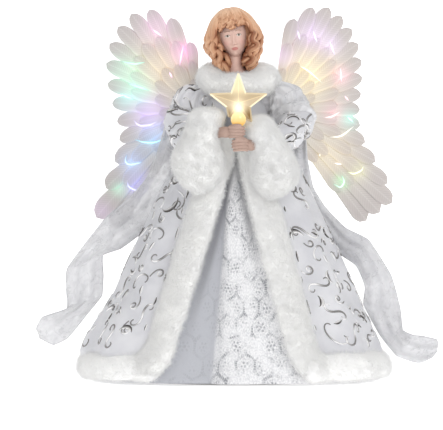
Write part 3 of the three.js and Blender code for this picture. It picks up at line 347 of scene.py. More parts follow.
def mottle(place, scale):  # the cloudy value at a place
    return use("mottle", Vector=place, Scale=scale)["Value"]


def coordinate(tree, kind):  # Object or UV coordinates
    return add(tree, "ShaderNodeTexCoord").outputs[kind]


def attribute(tree, name, output="Color"):  # what is painted on the piece
    return add(tree, "ShaderNodeAttribute", attribute_name=name).outputs[output]


def mixColour(factor, low, high):  # from low to high by the factor
    node = add(treeOf((factor, low, high)), "ShaderNodeMix", data_type="RGBA")
    for k, value in ((0, factor), (6, low), (7, high)):
        feed(node.inputs[k], value)
    return node.outputs[2]


def roughen(sockets, height, distance):  # bump by a height
    node = add(height.id_data, "ShaderNodeBump")
    feed(node.inputs["Distance"], distance)
    feed(node.inputs["Height"], height)
    feed(sockets["Normal"], node.outputs["Normal"])


def cloudy(name, low, high, scale, values, rough=None, grain=None):  # two shades in clouds, fine grain
    made, tree, sockets = newMaterial(name, values)
    place = coordinate(tree, "Object")
    spots = mottle(place, scale)
    feed(sockets["Base Color"], mixColour(spots, low, high))
    if rough:
        feed(sockets["Roughness"], band(spots, 0.0, 1.0, *rough))
    if grain:
        roughen(sockets, mottle(place, grain[0]), grain[1])
    return made


def painted(name, values, scale, height):  # the piece's own paint, a little darker in fine spots
    made, tree, sockets = newMaterial(name, values)
    paint = attribute(tree, "paint")
    spots = mottle(coordinate(tree, "Object"), scale)
    feed(sockets["Base Color"], mixColour(spots, mixColour(0.12, paint, (0.35, 0.2, 0.14)), paint))
    roughen(sockets, spots, height)
    return made


def satinCloth():  # pale satin: two shades in clouds, woven
    values = {"Sheen Weight": 0.25, "Sheen Roughness": 0.4, "Specular IOR Level": 0.4}
    made, tree, sockets = newMaterial("satinCloth", values)
    spots = mottle(coordinate(tree, "Object"), 45.0)
    feed(sockets["Base Color"], mixColour(spots, (0.74, 0.74, 0.78), (0.86, 0.86, 0.89)))
    feed(sockets["Roughness"], band(spots, 0.0, 1.0, 0.38, 0.52))
    roughen(sockets, use("weave", Vector=coordinate(tree, "UV"), Threads=1.6)["Height"], 0.00008)
    return made


def laceCloth():  # wandering medallions, worn and faded; a grey panel of painted shade and painted crease shadows by attribute
    made, tree, sockets = newMaterial("laceCloth", {"Sheen Weight": 0.1, "Specular IOR Level": 0.5})
    cells = calcVector("MULTIPLY", coordinate(tree, "UV"), (1 / 15.5, 1 / 17.5, 0.0))
    wander = add(tree, "ShaderNodeTexNoise")
    feed(wander.inputs["Scale"], 1.3)
    feed(wander.inputs["Vector"], cells)
    shift = calcVector("SUBTRACT", wander.outputs["Color"], (0.5, 0.5, 0.5))
    lace = use("lace", Vector=calcVector("ADD", cells, calcVector("MULTIPLY", shift, (0.3, 0.3, 0.0))))
    # painted shade by attribute: a grey panel over the tucked fold and dark creases beside the coat's edges
    panel, crease = [attribute(tree, name, "Fac") for name in ("panel", "crease")]
    worn, speck, faded = [mottle(cells, scale) for scale in (1.7, 11.0, 0.9)]
    marks = times(lace["Chain"], band(worn, 0.0, 0.8, 0.25, 1.0))
    for output, weight in (("Eyelets", 0.7), ("Ring", 0.16)):
        marks = calc("MAXIMUM", marks, times(lace[output], weight))
    marks = times(marks, band(faded, 0.2, 0.75, 0.12, 1.0))
    marks = times(marks, band(panel, 0.0, 1.0, 1.0, 0.42))
    net = mixColour(faded, (0.80, 0.80, 0.82), (0.55, 0.55, 0.58))
    ground = mixColour(speck, net, (0.97, 0.97, 0.98))
    # painted shade: the panel's ground is greyer and its lace fainter, standing for the shade on the tucked
    # fold
    ground = mixColour(panel, ground, (0.515, 0.525, 0.565))
    # painted shadow in the creases beside the coat's edges
    ground = mixColour(times(crease, 0.8), ground, (0.22, 0.22, 0.24))
    feed(sockets["Base Color"], mixColour(marks, ground, (0.33, 0.34, 0.37)))
    feed(sockets["Roughness"], band(speck, 0.0, 1.0, 0.65, 0.35))
    roughen(sockets, calc("MULTIPLY_ADD", marks, -1.0, times(speck, 0.3)), 0.0005)
    return made


def organzaCloth():  # sheer ribbon: crinkles where a cloudy value is near its middle, own veil
    values = {"Sheen Weight": 0.3, "Sheen Roughness": 0.3, "Specular IOR Level": 0.5}
    made, tree, sockets = newMaterial("organzaCloth", values)
    place = coordinate(tree, "UV")
    spots, crinkle = [mottle(place, scale) for scale in (0.12, 0.09)]
    shades = mixColour(spots, (0.73, 0.73, 0.755), (0.82, 0.82, 0.84))
    line = band(calc("ABSOLUTE", calc("SUBTRACT", crinkle, 0.5)), 0.0, 0.05, 1.0, 0.0)
    feed(sockets["Base Color"], mixColour(times(line, 0.55), shades, (0.42, 0.42, 0.44)))
    feed(sockets["Roughness"], band(spots, 0.0, 1.0, 0.35, 0.5))
    fine = mottle(calcVector("MULTIPLY", place, (1.0, 0.4, 1.0)), 0.22)
    feed(sockets["Alpha"], times(attribute(tree, "veil", "Fac"), band(fine, 0.0, 1.0, 1.12, 0.9)))
    weave = use("weave", Vector=place, Threads=1.8)["Height"]
    roughen(sockets, calc("MULTIPLY_ADD", fine, 3.0, weave), 0.00005)
    return made


def featherFilm():  # paint and glow by attribute, barbs a little darker, a pale shaft
    values = {"Roughness": 0.4, "Specular IOR Level": 0.35, "Sheen Weight": 0.1, "Emission Strength": 1.0}
    made, tree, sockets = newMaterial("featherFilm", values)
    barbs = use("barbs", Vector=coordinate(tree, "UV"), Barbs=0.45)
    paint = attribute(tree, "paint")
    film = mixColour(barbs["Barb"], mixColour(0.045, paint, (0.45, 0.42, 0.40)), paint)
    feed(sockets["Base Color"], mixColour(times(barbs["Shaft"], 0.2), film, (0.9, 0.88, 0.86)))
    feed(sockets["Emission Color"], attribute(tree, "glow"))
    feed(sockets["Alpha"], band(barbs["Barb"], 0.0, 1.0, 0.88, 0.95))
    roughen(sockets, barbs["Barb"], 0.00006)
    return made


def glowing(name, values):  # glow by attribute
    made, tree, sockets = newMaterial(name, values)
    feed(sockets["Emission Color"], attribute(tree, "glow"))
    feed(sockets["Roughness"], band(mottle(coordinate(tree, "Object"), 300.0), 0.0, 1.0, 0.08, 0.2))
    return made


looks = dict(
    # the fur's faint white emission is painted light: a glow standing in for light scattered through the
    # pile
    fur=cloudy("whiteFur", (0.88, 0.88, 0.88), (0.95, 0.95, 0.94), 120.0,
               {"Roughness": 0.8, "Sheen Weight": 0.2, "Sheen Roughness": 0.5, "Specular IOR Level": 0.1,
                "Emission Color": (1.0, 0.99, 0.97), "Emission Strength": 0.115}),
    satin=satinCloth(),
    lace=laceCloth(),
    organza=organzaCloth(),
    film=featherFilm(),
    foil=painted("silverFoil", {"Roughness": 0.25, "Specular IOR Level": 0.8, "Metallic": 0.35},
                 900.0, 0.00005),
    skin=painted("skinPaint", {"Roughness": 0.45, "Specular IOR Level": 0.35}, 700.0, 0.00003),
    hair=painted("hairPaint", {"Roughness": 0.42, "Specular IOR Level": 0.4}, 500.0, 0.00008),
    star=glowing("amberShell", {"Base Color": (0.16, 0.09, 0.025), "Emission Strength": 1.0,
                                "Coat Weight": 0.6, "Coat Roughness": 0.05}),
    glow=glowing("fibreGlow", {"Base Color": (0.5, 0.5, 0.5), "Emission Strength": 1.15}),
)
plainLooks = dict(  # name, two shades, their scale, roughness from and to, grain's scale and height
    mould=("mouldedWhite", (0.58, 0.575, 0.56), (0.66, 0.655, 0.63), 30.0, (0.4, 0.55), (1500.0, 0.00006)),
    steel=("plainSteel", (0.50, 0.51, 0.53), (0.66, 0.66, 0.67), 90.0, (0.22, 0.4), (1200.0, 0.00003)),
    cell=("cellSleeve", (0.035, 0.12, 0.08), (0.055, 0.17, 0.115), 60.0, (0.25, 0.4), (800.0, 0.00003)),
    board=("circuitBoard", (0.03, 0.16, 0.07), (0.05, 0.22, 0.10), 140.0, (0.3, 0.5), (900.0, 0.00004)),
    lead=("paleLead", (0.62, 0.62, 0.62), (0.72, 0.72, 0.71), 120.0, (0.4, 0.6), (900.0, 0.00004)),
    fibre=("clearFibre", (0.80, 0.82, 0.86), (0.94, 0.95, 0.97), 200.0, (0.1, 0.25), (900.0, 0.00003)),
    lamp=("lampLens", (0.90, 0.88, 0.80), (0.97, 0.96, 0.92), 200.0, (0.1, 0.2), (900.0, 0.00002)),
)
for look, (title, low, high, scale, rough, grain) in plainLooks.items():
    looks[look] = cloudy(title, low, high, scale, {"Metallic": float(look == "steel")}, rough, grain)
print("stage: materials")


# coat and gown: radius round a leaning oval cone, angle 0 at the front and 90 degrees at the figure's left

coneShape = dict(footRadius=74.0, topRadius=11.0, height=234.0)
coatShape = dict(
    sideEase=48.0, frontEase=30.0, backEase=16.0, topSideEase=9.0, topDepthEase=4.1, sideBulge=4.0,
    flare=(9.0, 2.0), flareTop=72.0, folds=12, foldDepth=3.5, foldTop=206.0, cloth=1.2, openHalf=52.0,
    openShift=-4.5, openTop=186.0, openCurve=1.1, trimWidth=25.0, trimTopWidth=10.0, trimTaper=40.0,
    furEnds=(206.0, 198.0),
)


def around(angle, radius, z):  # point at an angle and radius round the z axis
    return np.stack(np.broadcast_arrays(radius * np.sin(angle), -radius * np.cos(angle), z), -1)


def coatHalves(z):  # the cone's radius and an ease that shrinks to the top; the sides bulge by half a sine
    share = z / coneShape["height"]
    core = lerp(coneShape["footRadius"], coneShape["topRadius"], share)
    side = core + lerp(coatShape["sideEase"], coatShape["topSideEase"], share)
    side = side + coatShape["sideBulge"] * np.sin(np.pi * share)
    top = coatShape["topDepthEase"]
    front, back = [core + lerp(coatShape[ease], top, share) for ease in ("frontEase", "backEase")]
    return side, front, back


def coatMean(angle, z):  # radius of an oval whose depth differs between front and back
    side, front, back = coatHalves(z)
    depth = np.where(np.cos(angle) > 0, front, back)
    return 1 / np.hypot(np.sin(angle) / side, np.cos(angle) / depth)


def foldShare(z):  # folds fade evenly from the foot to their top
    return np.maximum(0, 1 - z / coatShape["foldTop"])


def foldWave(angle, z):  # folds: a cosine round the coat
    return coatShape["foldDepth"] * foldShare(z) * np.cos(coatShape["folds"] * angle)


def coatFlare(angle, z):  # swelling low on each side: half a sine up, squared sine round
    share = np.clip(z / coatShape["flareTop"], 0, 1)
    right, left = coatShape["flare"]
    return np.where(np.sin(angle) > 0, left, right) * np.sin(np.pi * share ** 0.7) * np.sin(angle) ** 2


def coatOuter(angle, z):  # oval, folds and flare
    return coatMean(angle, z) + foldWave(angle, z) + coatFlare(angle, z)


def coatLining(angle, z):  # inside of the deepest folds
    return coatMean(angle, z) - coatShape["foldDepth"] * foldShare(z) - coatShape["cloth"]


def openingAngle(sign, z, extra):  # angle on the oval of a line extra mm beside the opening
    share = np.maximum(0, 1 - z / coatShape["openTop"])
    half = np.maximum(1, coatShape["openHalf"] * share ** coatShape["openCurve"]) + extra
    x = sign * half + coatShape["openShift"] * share
    side, front = coatHalves(z)[:2]
    return np.arctan2(x, front * np.sqrt(np.maximum(0.02, 1 - (x / side) ** 2)))


def trimWidthAt(z):  # the trims narrow evenly above the opening
    taper = np.clip((z - coatShape["openTop"]) / coatShape["trimTaper"], 0, 1)
    return lerp(coatShape["trimWidth"], coatShape["trimTopWidth"], taper)


def coatAngles(u, z, under):  # u runs from the left front edge round the back to the right front edge
    width = trimWidthAt(z) - under
    return lerp(openingAngle(1, z, width), openingAngle(-1, z, width) + 2 * np.pi, u)


# panel: where the grey panel of painted shade begins and ends; the crease entries place painted shadows
# beside the coat's edges
gownLook = dict(
    columns=300, rows=100, foot=1.5, top=231.0, gap=1.5, folds=12, depth=3.0, thick=1.0, tuck=7.0,
    tuckIn=(-0.10, -0.22), tuckOut=(-0.75, -0.45), panel=(-0.20, -0.10, 0.05), map=95.0, mapShare=0.75,
    rightCreaseShade=(2.4, 3.4), rightShadeRise=(20.0, 120.0), leftCreaseShade=4.5, leftShadeRise=(90.0, 130.0),
    leftShadeShare=0.7,
)


def gownRadius(angle, z):  # inside the coat by a gap, by pleats and by one tuck beside the middle
    pleat = gownLook["depth"] * foldShare(z) * (1 - np.cos(gownLook["folds"] * angle))
    tuck = gownLook["tuck"] * foldShare(z) * ramp(*gownLook["tuckIn"], angle)
    tuck = tuck * ramp(*gownLook["tuckOut"], angle)
    return coatLining(angle, z) - gownLook["gap"] - pleat - tuck


def makeGown():  # the panel of painted shade is right of a leaning line, the painted crease shadows are bells beside the coat's edges
    angle = np.linspace(-np.pi, np.pi, gownLook["columns"], endpoint=False)[:, None]
    z = np.linspace(gownLook["foot"], gownLook["top"], gownLook["rows"])[None, :]
    radius = gownRadius(angle, z)
    front = coatHalves(z)[1]
    share = z / gownLook["top"]
    low, high, soft = gownLook["panel"]
    fold = lerp(low, high, share)
    right = (angle - openingAngle(-1, z, 0.0)) * radius
    left = (openingAngle(1, z, 0.0) - angle) * radius
    width = lerp(*gownLook["rightCreaseShade"], share)
    # painted shadow in a crease beside each edge of the coat's opening
    crease = bell(np.maximum(0, right - 1.0), width) * ramp(*gownLook["rightShadeRise"], z)
    other = bell(np.maximum(0, left - 1.0), gownLook["leftCreaseShade"]) * ramp(*gownLook["leftShadeRise"], z)
    crease = np.maximum(crease, gownLook["leftShadeShare"] * other)
    arc = angle * lerp(front, gownLook["map"], gownLook["mapShare"])
    outer, inner = [around(angle, radius - under, z) for under in (0.0, gownLook["thick"])]
    made = clothPiece("gownCloth", outer, inner, "lace", ["gown"], (arc, z), True,
                      panel=ramp(fold, fold - soft, angle), crease=crease)


makeGown()

coatLook = dict(
    columns=360, rows=90, foot=14.0, top=226.0, under=9.0, thick=1.0, soft=1.3, softRound=(7, 3),
    softTall=(30, 26), map=95.0, turnIn=6.0, turnTop=27.0,
)


def coatSoft(angle, z):  # lesser folds between the pleats: product of two slanting sines
    (many, few), (long, short) = coatLook["softRound"], coatLook["softTall"]
    wave = coatLook["soft"] * foldShare(z) * np.sin(many * angle + z / long)
    return wave * np.sin(z / short + angle * few)


def makeCoat():  # outer radius and lesser folds, turned in at the foot
    u = np.linspace(0, 1, coatLook["columns"])[:, None]
    z = np.linspace(coatLook["foot"], coatLook["top"], coatLook["rows"])[None, :]
    angle = coatAngles(u, z, coatLook["under"])
    inward = coatLook["turnIn"] * ramp(coatLook["turnTop"], coatLook["foot"], z)
    radius = coatOuter(angle, z) + coatSoft(angle, z) - inward
    outer, inner = [around(angle, radius - under, z) for under in (0.0, coatLook["thick"])]
    made = clothPiece("coatCloth", outer, inner, "satin", ["coat"], (angle * coatLook["map"], z))


makeCoat()


# foil scrolls: flat strips lying on a cloth; a stroke is a curve whose heading turns with its length

# glints, thin, white and the dark half: painted glints on thin strips, a painted highlight and painted shade
# on bold ones
foilLook = dict(
    points=34, lift=0.5, raised=0.1, sides=6, size=(1.0, 1.4), glints=(0.14, 0.08), thin=(0.24, 1.05),
    white=1.0, shadedHalf=0.03, halfAt=0.1, dimmest=0.02, step=0.2, stagger=(0.35, 0.4), rowAngle=1.2,
    spacing=27.0, rowShare=0.8, jitter=0.16, foot=36.0, top=214.0, aside=0.07, heights=(14, 222), least=28,
    under=2, seed=41,
)
strokeLook = dict(  # least half width, more in the middle, power
    s=(0.38, 0.55, 1.0), c=(0.38, 0.4, 1.0), hook=(0.38, 0.32, 1.0), moon=(0.2, 1.9, 1.3),
    drop=(0.2, 1.3, 1.0),
)
dashLook = dict(foot=42.0, top=168.0, tall=(4.0, 11.0), space=(4.0, 15.0), beside=(2.5, 4.5), wide=0.75)
foilMap = 100.0  # strokes on the coat are laid out in angle times this, and z


def stroke(kind):  # heading and half width along it: S turns back, C and hook turn one way
    s = np.linspace(-1, 1, foilLook["points"])
    heading = dict(s=4.8 * s ** 2, c=1.2 * s + 2.3 * s ** 3, hook=2.1 * (s + 1) ** 2,
                   moon=1.2 * s, drop=0.3 * s)[kind]
    path = np.cumsum(np.stack([np.cos(heading), np.sin(heading)], -1), 0) * 2 / len(s)
    taper = np.sin(np.pi * (s + 1) / 2)
    least, more, power = strokeLook[kind]
    return path - path.mean(0), least + more * taper ** power


motifs = [  # kind, half length, place beside the motif's centre, turn
    [("s", 17.0, (0.0, 0.0), 0.0), ("moon", 6.5, (7.0, 8.0), 0.9), ("drop", 3.4, (-8.0, -7.0), 0.4)],
    [("c", 14.0, (0.0, 0.0), 0.6), ("hook", 10.0, (6.0, -7.0), 2.2), ("drop", 3.2, (-7.0, 6.0), 1.8)],
    [("hook", 15.0, (0.0, 0.0), 0.0), ("moon", 7.5, (-6.0, 6.0), 2.0), ("c", 8.0, (8.0, 4.0), 3.4)],
    [("s", 14.0, (-2.0, 1.0), 1.2), ("hook", 10.0, (7.0, 5.0), 4.0), ("moon", 5.0, (2.0, -9.0), 3.0)],
]


def turned(path, turn):  # plane points turned about the origin
    c, s = np.cos(turn), np.sin(turn)
    return path @ np.array([[c, s], [-s, c]])


def foilStrokes(centres, seed):  # a motif at each centre: paths, half widths, which are bold
    rng = np.random.default_rng(seed)
    paths, wides, bold = [], [], []
    for centre in centres:
        turn = rng.uniform(0, 2 * np.pi)
        flip = rng.choice([-1.0, 1.0])
        size = rng.uniform(*foilLook["size"])
        for kind, half, place, own in motifs[rng.integers(len(motifs))]:
            path, wide = stroke(kind)
            path = (turned(path, own) * half + np.array(place)) * np.array([flip, 1.0]) * size
            paths.append(turned(path, turn) + centre)
            wides.append(wide)
            bold.append(kind in ("moon", "drop"))
    return np.array(paths), np.array(wides), np.array(bold)


def foilPiece(name, here, normal, wides, bold, seed):  # thin strips get painted glints; bold ones a painted highlight half and a painted dark half
    rng = np.random.default_rng(seed)
    count, points = wides.shape
    lift = foilLook["lift"] * np.ones_like(wides)
    strips = tubes(here + foilLook["raised"] * normal, wides, lift, normal, foilLook["sides"])
    across = np.cos(circle(foilLook["sides"]))[None, None, :]
    along = np.linspace(0, 1, points)[None, :, None]
    # painted glints: bright bells along each thin strip
    glint = sum(bell(along - rng.uniform(0, 1, (count, 1, 1)), width) for width in foilLook["glints"])
    dull, shine = foilLook["thin"]
    thin = dull + shine * glint + 0 * across
    # bold strips: a painted highlight on one half, painted shade and dark reflection on the other
    lit = across * rng.choice([-1.0, 1.0], (count, 1, 1)) > foilLook["halfAt"]
    half = np.where(lit, foilLook["white"], foilLook["shadedHalf"]) + 0 * along
    tone = np.clip(np.where(bold[:, None, None], half, thin), foilLook["dimmest"], 1.0).reshape(count, -1)
    tone = np.concatenate([tone, tone[:, :1], tone[:, -1:]], 1).reshape(-1, 1)
    piece(name, strips, "foil", slot="satin", paint=np.repeat(tone, 3, 1))


def onCloth(surface, paths):  # strokes laid on surface(p, q): points and outward normals by small steps
    p, q = paths[..., 0], paths[..., 1]
    here, step = surface(p, q), foilLook["step"]
    normal = unit(np.cross(surface(p + step, q) - here, surface(p, q + step) - here))
    return here, normal


def furEdge(z):  # the front trims' width, which ends below the bodice
    return trimWidthAt(z) * ramp(*coatShape["furEnds"], z)


def clothEdges(z, extra):  # angles of the coat's satin, from the left trim round the back to the right trim
    return openingAngle(1, z, furEdge(z) + extra), openingAngle(-1, z, furEdge(z) + extra) + 2 * np.pi


def trimDashes(seed):  # a broken line of drops up the coat beside each front trim
    rng = np.random.default_rng(seed)
    paths = []
    for edge in (0, 1):
        z = dashLook["foot"]
        while z < dashLook["top"]:
            tall = rng.uniform(*dashLook["tall"])
            height = np.linspace(z, z + tall, foilLook["points"])
            angle = clothEdges(height, rng.uniform(*dashLook["beside"]))[edge]
            paths.append(np.stack([angle * foilMap, height], -1))
            z += tall + rng.uniform(*dashLook["space"])
    # all bold: each dash gets a painted highlight half and a painted dark half
    wide = stroke("drop")[1] * dashLook["wide"]
    return np.array(paths), np.tile(wide, (len(paths), 1)), np.ones(len(paths), bool)


def coatCentres():  # staggered rows of motifs over the satin, each a little off its place
    rng = np.random.default_rng(foilLook["seed"])
    gap = foilLook["spacing"]
    first, more = foilLook["stagger"]
    centres = []
    for row, z in enumerate(np.arange(foilLook["foot"], foilLook["top"], gap * foilLook["rowShare"])):
        low, high = clothEdges(z, 0.0)
        low, high = low + foilLook["aside"], high - foilLook["aside"]
        radius = coatMean(np.array(foilLook["rowAngle"]), np.array(z))
        count = max(3, int((high - low) * radius / gap))
        places = low + (high - low) * (np.arange(count) + first + more * (row % 2)) / count
        jitter = rng.uniform(-foilLook["jitter"], foilLook["jitter"], (count, 2)) * gap
        p = places * foilMap + jitter[:, 0] * foilMap / radius
        centres.append(np.stack([p, z + jitter[:, 1]], -1))
    return np.concatenate(centres)


def coatCloth(p, q):  # the coat's outer face at angle times the map's size, and z
    angle = p / foilMap
    return around(angle, coatOuter(angle, q) + coatSoft(angle, q), q)


def makeCoatFoil():  # strokes at the coat's own radius, without those that cross the trims
    paths, wides, bold = foilStrokes(coatCentres(), foilLook["seed"] + 1)
    middle = paths.mean(1, keepdims=True)
    radius = coatMean(middle[..., 0] / foilMap, middle[..., 1])[..., None]
    p = (middle[..., :1] + (paths - middle)[..., :1] * foilMap / radius)[..., 0]
    z = np.clip(paths[..., 1], *foilLook["heights"])
    low, high = clothEdges(z, -foilLook["under"])
    inside = ((p / foilMap > low) & (p / foilMap < high) & (z > foilLook["least"])).all(1)
    strokes = np.stack([p, z], -1)[inside], wides[inside], bold[inside]
    paths, wides, bold = [np.concatenate(pair) for pair in zip(strokes, trimDashes(foilLook["seed"] + 3))]
    foilPiece("coatFoil", *onCloth(coatCloth, paths), wides, bold, foilLook["seed"] + 2)


makeCoatFoil()
print("stage: gown and coat")


# fur: oval tubes with a fine pile

furLook = dict(
    hairs=42000, length=4.6, thick=0.09, tuft=6.0, fall=0.1, comb=0.18, stray=0.42, root=0.3, sides=24,
    lean=0.4, ripple=9.0, rippleShare=0.25, clear=0.3, tall=(0.5, 1.1), away=-0.35, few=0.02, seed=7,
)


def lumpy(surface, size, depth, seed):  # moved along its normals by large and small waves
    v, q, t = faceOut(surface)
    middle = v.mean(0)
    normal = np.zeros_like(v)
    for k in range(4):
        np.add.at(normal, q[:, k], quadSpread(v[q]))
    rise = depth * waves(v - middle, size, seed)
    rise = rise + furLook["rippleShare"] * depth * waves(v - middle, furLook["ripple"], seed + 1)
    return v + rise[:, None] * unit(normal), q, t


def pelt(base, look, keep=None):  # base with hairs rooted on its quads, as many as a quad is large
    v, q, t = faceOut(base)
    rng = np.random.default_rng(look["seed"])
    count = look["hairs"]
    corners = v[q]
    spread = quadSpread(corners)
    out = unit(spread)
    chance = np.linalg.norm(spread, axis=1)
    if keep is not None:
        chance = chance * keep(corners.mean(1), out)
    pick = rng.choice(len(q), count, p=chance / chance.sum())
    s, r = rng.random((2, count, 1))
    a, b, c, d = [corners[pick, k] for k in range(4)]
    root = lerp(lerp(a, b, s), lerp(d, c, s), r) - look["root"] * out[pick]
    comb = np.stack([waves(root, look["tuft"], look["seed"] + k) for k in (1, 2, 3)], -1)
    stray = look["stray"] * rng.normal(size=(count, 3))
    head = unit(out[pick] + look["comb"] * comb + stray - look["fall"] * up)
    tall = look["length"] * rng.uniform(*look["tall"], (count, 1))
    side = unit(np.cross(head, rng.normal(size=(count, 3))))
    other = np.cross(head, side)
    ring = [root + look["thick"] * (np.cos(turn) * side + np.sin(turn) * other) for turn in circle(3)]
    hairs = np.stack(ring + [root + tall * head], 1).reshape(-1, 3)
    faces = np.array([[0, 1, 3], [1, 2, 3], [2, 0, 3], [2, 1, 0]]) + (np.arange(count) * 4)[:, None, None]
    return joined((v, q, t), (hairs, noQuads, faces.reshape(-1, 3)))


def offGown(surface):  # points that would lie under the gown are moved out to its cloth
    v, q, t = surface
    angle = np.arctan2(v[:, 0], -v[:, 1])
    least = gownRadius(angle, v[:, 2]) + furLook["clear"]
    return v + around(angle, np.maximum(0, least - np.hypot(v[:, 0], v[:, 1])), 0.0), q, t


def outside(centre, normal):  # the pile stands on the side away from the figure
    facing = (normal * unit(centre * np.array([1, 1, 0]))).sum(1)
    return (facing > furLook["away"]) + furLook["few"]


def furTube(name, node, angle, radius, z, halves, lump, **look):  # oval tube with a pile
    rise = around(angle, 1.0, furLook["lean"])[None]
    base = tubes(around(angle, radius, z)[None], *halves, rise, furLook["sides"])
    piece(name, pelt(offGown(lumpy(base, *lump)), dict(furLook, **look), outside), "fur", [node])


hemLook = dict(
    steps=260, z=12.8, under=17.0, sideRise=1.5, inset=0.5, sideInset=3.0, half=(10.4, 7.0),
    ends=(0.02, 0.35), lump=(34.0, 0.5, 3), hairs=41000, seed=11,
)


def makeHem():  # along the coat's foot with half its folds, higher and nearer at the sides
    t = np.linspace(0, 1, hemLook["steps"])
    z = np.full_like(t, hemLook["z"])
    angle = coatAngles(t, z, hemLook["under"])
    aside = np.sin(angle) ** 2
    z = z + hemLook["sideRise"] * aside
    radius = coatMean(angle, z) + 0.5 * foldWave(angle, z) + 0.5 * coatFlare(angle, z)
    radius = radius - hemLook["inset"] - hemLook["sideInset"] * aside
    ends = roundEnds(t, *hemLook["ends"])
    halves = [half * ends for half in hemLook["half"]]
    furTube("hemFur", "hem_trim", angle, radius, z, halves, hemLook["lump"],
            hairs=hemLook["hairs"], seed=hemLook["seed"])


makeHem()

trimLook = dict(
    steps=150, foot=8.5, top=197.0, narrow=(0.55, 0.8), spread=7.0, lift=2.8, footLift=2.0,
    low=(34.0, 6.0), tall=(7.0, 5.5), ends=(0.05, 0.3), lump=(30.0, 0.45, 21), hairs=37000, seed=31,
)


def makeFrontTrim(name):  # up beside the opening, spread and lifted at the foot to meet the hem
    sign = int(signs[name])
    t = np.linspace(0, 1, trimLook["steps"])
    z = lerp(trimLook["foot"], trimLook["top"], t)
    start, share = trimLook["narrow"]
    width = trimWidthAt(z) * lerp(1.0, share, ramp(start, 1.0, t))
    low = ramp(*trimLook["low"], z)
    angle = openingAngle(sign, z, 0.5 * width + trimLook["spread"] * low ** 2)
    radius = coatLining(angle, z) + trimLook["lift"] + trimLook["footLift"] * low
    ends = roundEnds(t, *trimLook["ends"])
    size, depth, seed = trimLook["lump"]
    halves = [0.5 * width * ends, lerp(*trimLook["tall"], t) * ends]
    furTube(name + "FrontFur", name + "_front_trim", angle, radius, z, halves, (size, depth, seed + sign),
            hairs=trimLook["hairs"], seed=trimLook["seed"] + sign)


for name in signs:
    makeFrontTrim(name)

collarLook = dict(
    centre=(2.4, -4.0, 241.0), ring=(19.5, 15.0), tube=(12.5, 11.5), frontTall=8.0, frontDrop=5.5,
    turns=120, rolls=36, lump=(28.0, 0.6, 51), seed=52,
)


def makeCollar():  # oval ring of an oval section, lower in front
    turn = np.linspace(0, 2 * np.pi, collarLook["turns"], endpoint=False)[:, None]
    roll = np.linspace(0, 2 * np.pi, collarLook["rolls"], endpoint=False)[None, :]
    wide, tall = collarLook["tube"]
    front = ramp(0.1, 1.0, np.cos(turn))
    x = np.sin(turn) * (collarLook["ring"][0] + wide * np.cos(roll))
    y = -np.cos(turn) * (collarLook["ring"][1] + wide * np.cos(roll))
    z = lerp(tall, collarLook["frontTall"], front) * np.sin(roll) - collarLook["frontDrop"] * front
    grid = np.stack([x, y, z], -1) + np.array(collarLook["centre"])
    base = (grid.reshape(-1, 3), gridFaces(*grid.shape[:2], True, True), noTris)
    furred = pelt(lumpy(base, *collarLook["lump"]), dict(furLook, seed=collarLook["seed"]))
    piece("collarFur", furred, "fur", ["collar"])


makeCollar()

cuffLook = dict(rows=60, turns=56, lump=(14.0, 0.8, 61), seed=71, dent=(28.2, 168.4, 3.4, 3.0))
cuffRuns = dict(  # from the top: z, x of the centre, half width, half depth, y of the centre
    right=[
        (216, -22.0, 0, 0, -62), (212.3, -22.6, 11.4, 12, -62), (204.2, -23.6, 12.6, 15, -62),
        (194.6, -26.4, 13.2, 17, -62), (186.7, -28.6, 15.4, 18, -61), (180.0, -29.4, 18.2, 18, -60),
        (172.2, -29.4, 18.6, 18, -59), (165.8, -29.4, 17.4, 17, -58), (159.4, -28.6, 13.6, 14, -58),
        (154.0, -28.2, 8.0, 9, -58), (150.5, -28.0, 0, 0, -58),
    ],
    left=[
        (210.5, 18.6, 0, 0, -62), (206.7, 18.7, 7.8, 9, -62), (201.1, 19.2, 11.4, 14, -62),
        (194.6, 21.4, 12.8, 17, -62), (187.4, 25.0, 13.4, 18, -62), (180.2, 28.0, 15.0, 18, -61),
        (173.8, 30.0, 16.4, 18, -60), (167.4, 30.8, 16.8, 18, -59), (161.0, 30.6, 16.0, 17, -58),
        (155.4, 30.2, 13.4, 14, -58), (150.6, 29.6, 8.6, 9, -58), (147.0, 29.4, 0, 0, -58),
    ],
)


def makeCuff(name):  # stacked ovals through the rows, with a dent in the left one
    sign = int(signs[name])
    rows = spline(cuffRuns[name], np.linspace(0, 1, cuffLook["rows"]))
    rows[[0, -1], 2:4] = 0
    turn = np.linspace(0, 2 * np.pi, cuffLook["turns"], endpoint=False)[None, :]
    x = rows[:, 1:2] + np.maximum(0, rows[:, 2:3]) * np.cos(turn)
    y = rows[:, 4:5] - np.maximum(0, rows[:, 3:4]) * np.sin(turn)
    z = rows[:, :1] + 0 * turn
    dentX, dentZ, wide, deep = cuffLook["dent"]
    dent = deep * bell(np.hypot(x - dentX, z - dentZ), wide) * ramp(0.2, 0.6, np.sin(turn))
    y = y + dent * (name == "left")
    size, depth, seed = cuffLook["lump"]
    base = lumpy(ball(np.stack([x, y, z], -1)), size, depth, seed + sign)
    furred = pelt(base, dict(furLook, seed=cuffLook["seed"] + sign))
    piece(name + "CuffFur", furred, "fur", [name + "_cuff"])


for name in signs:
    makeCuff(name)
print("stage: fur")


# sleeves

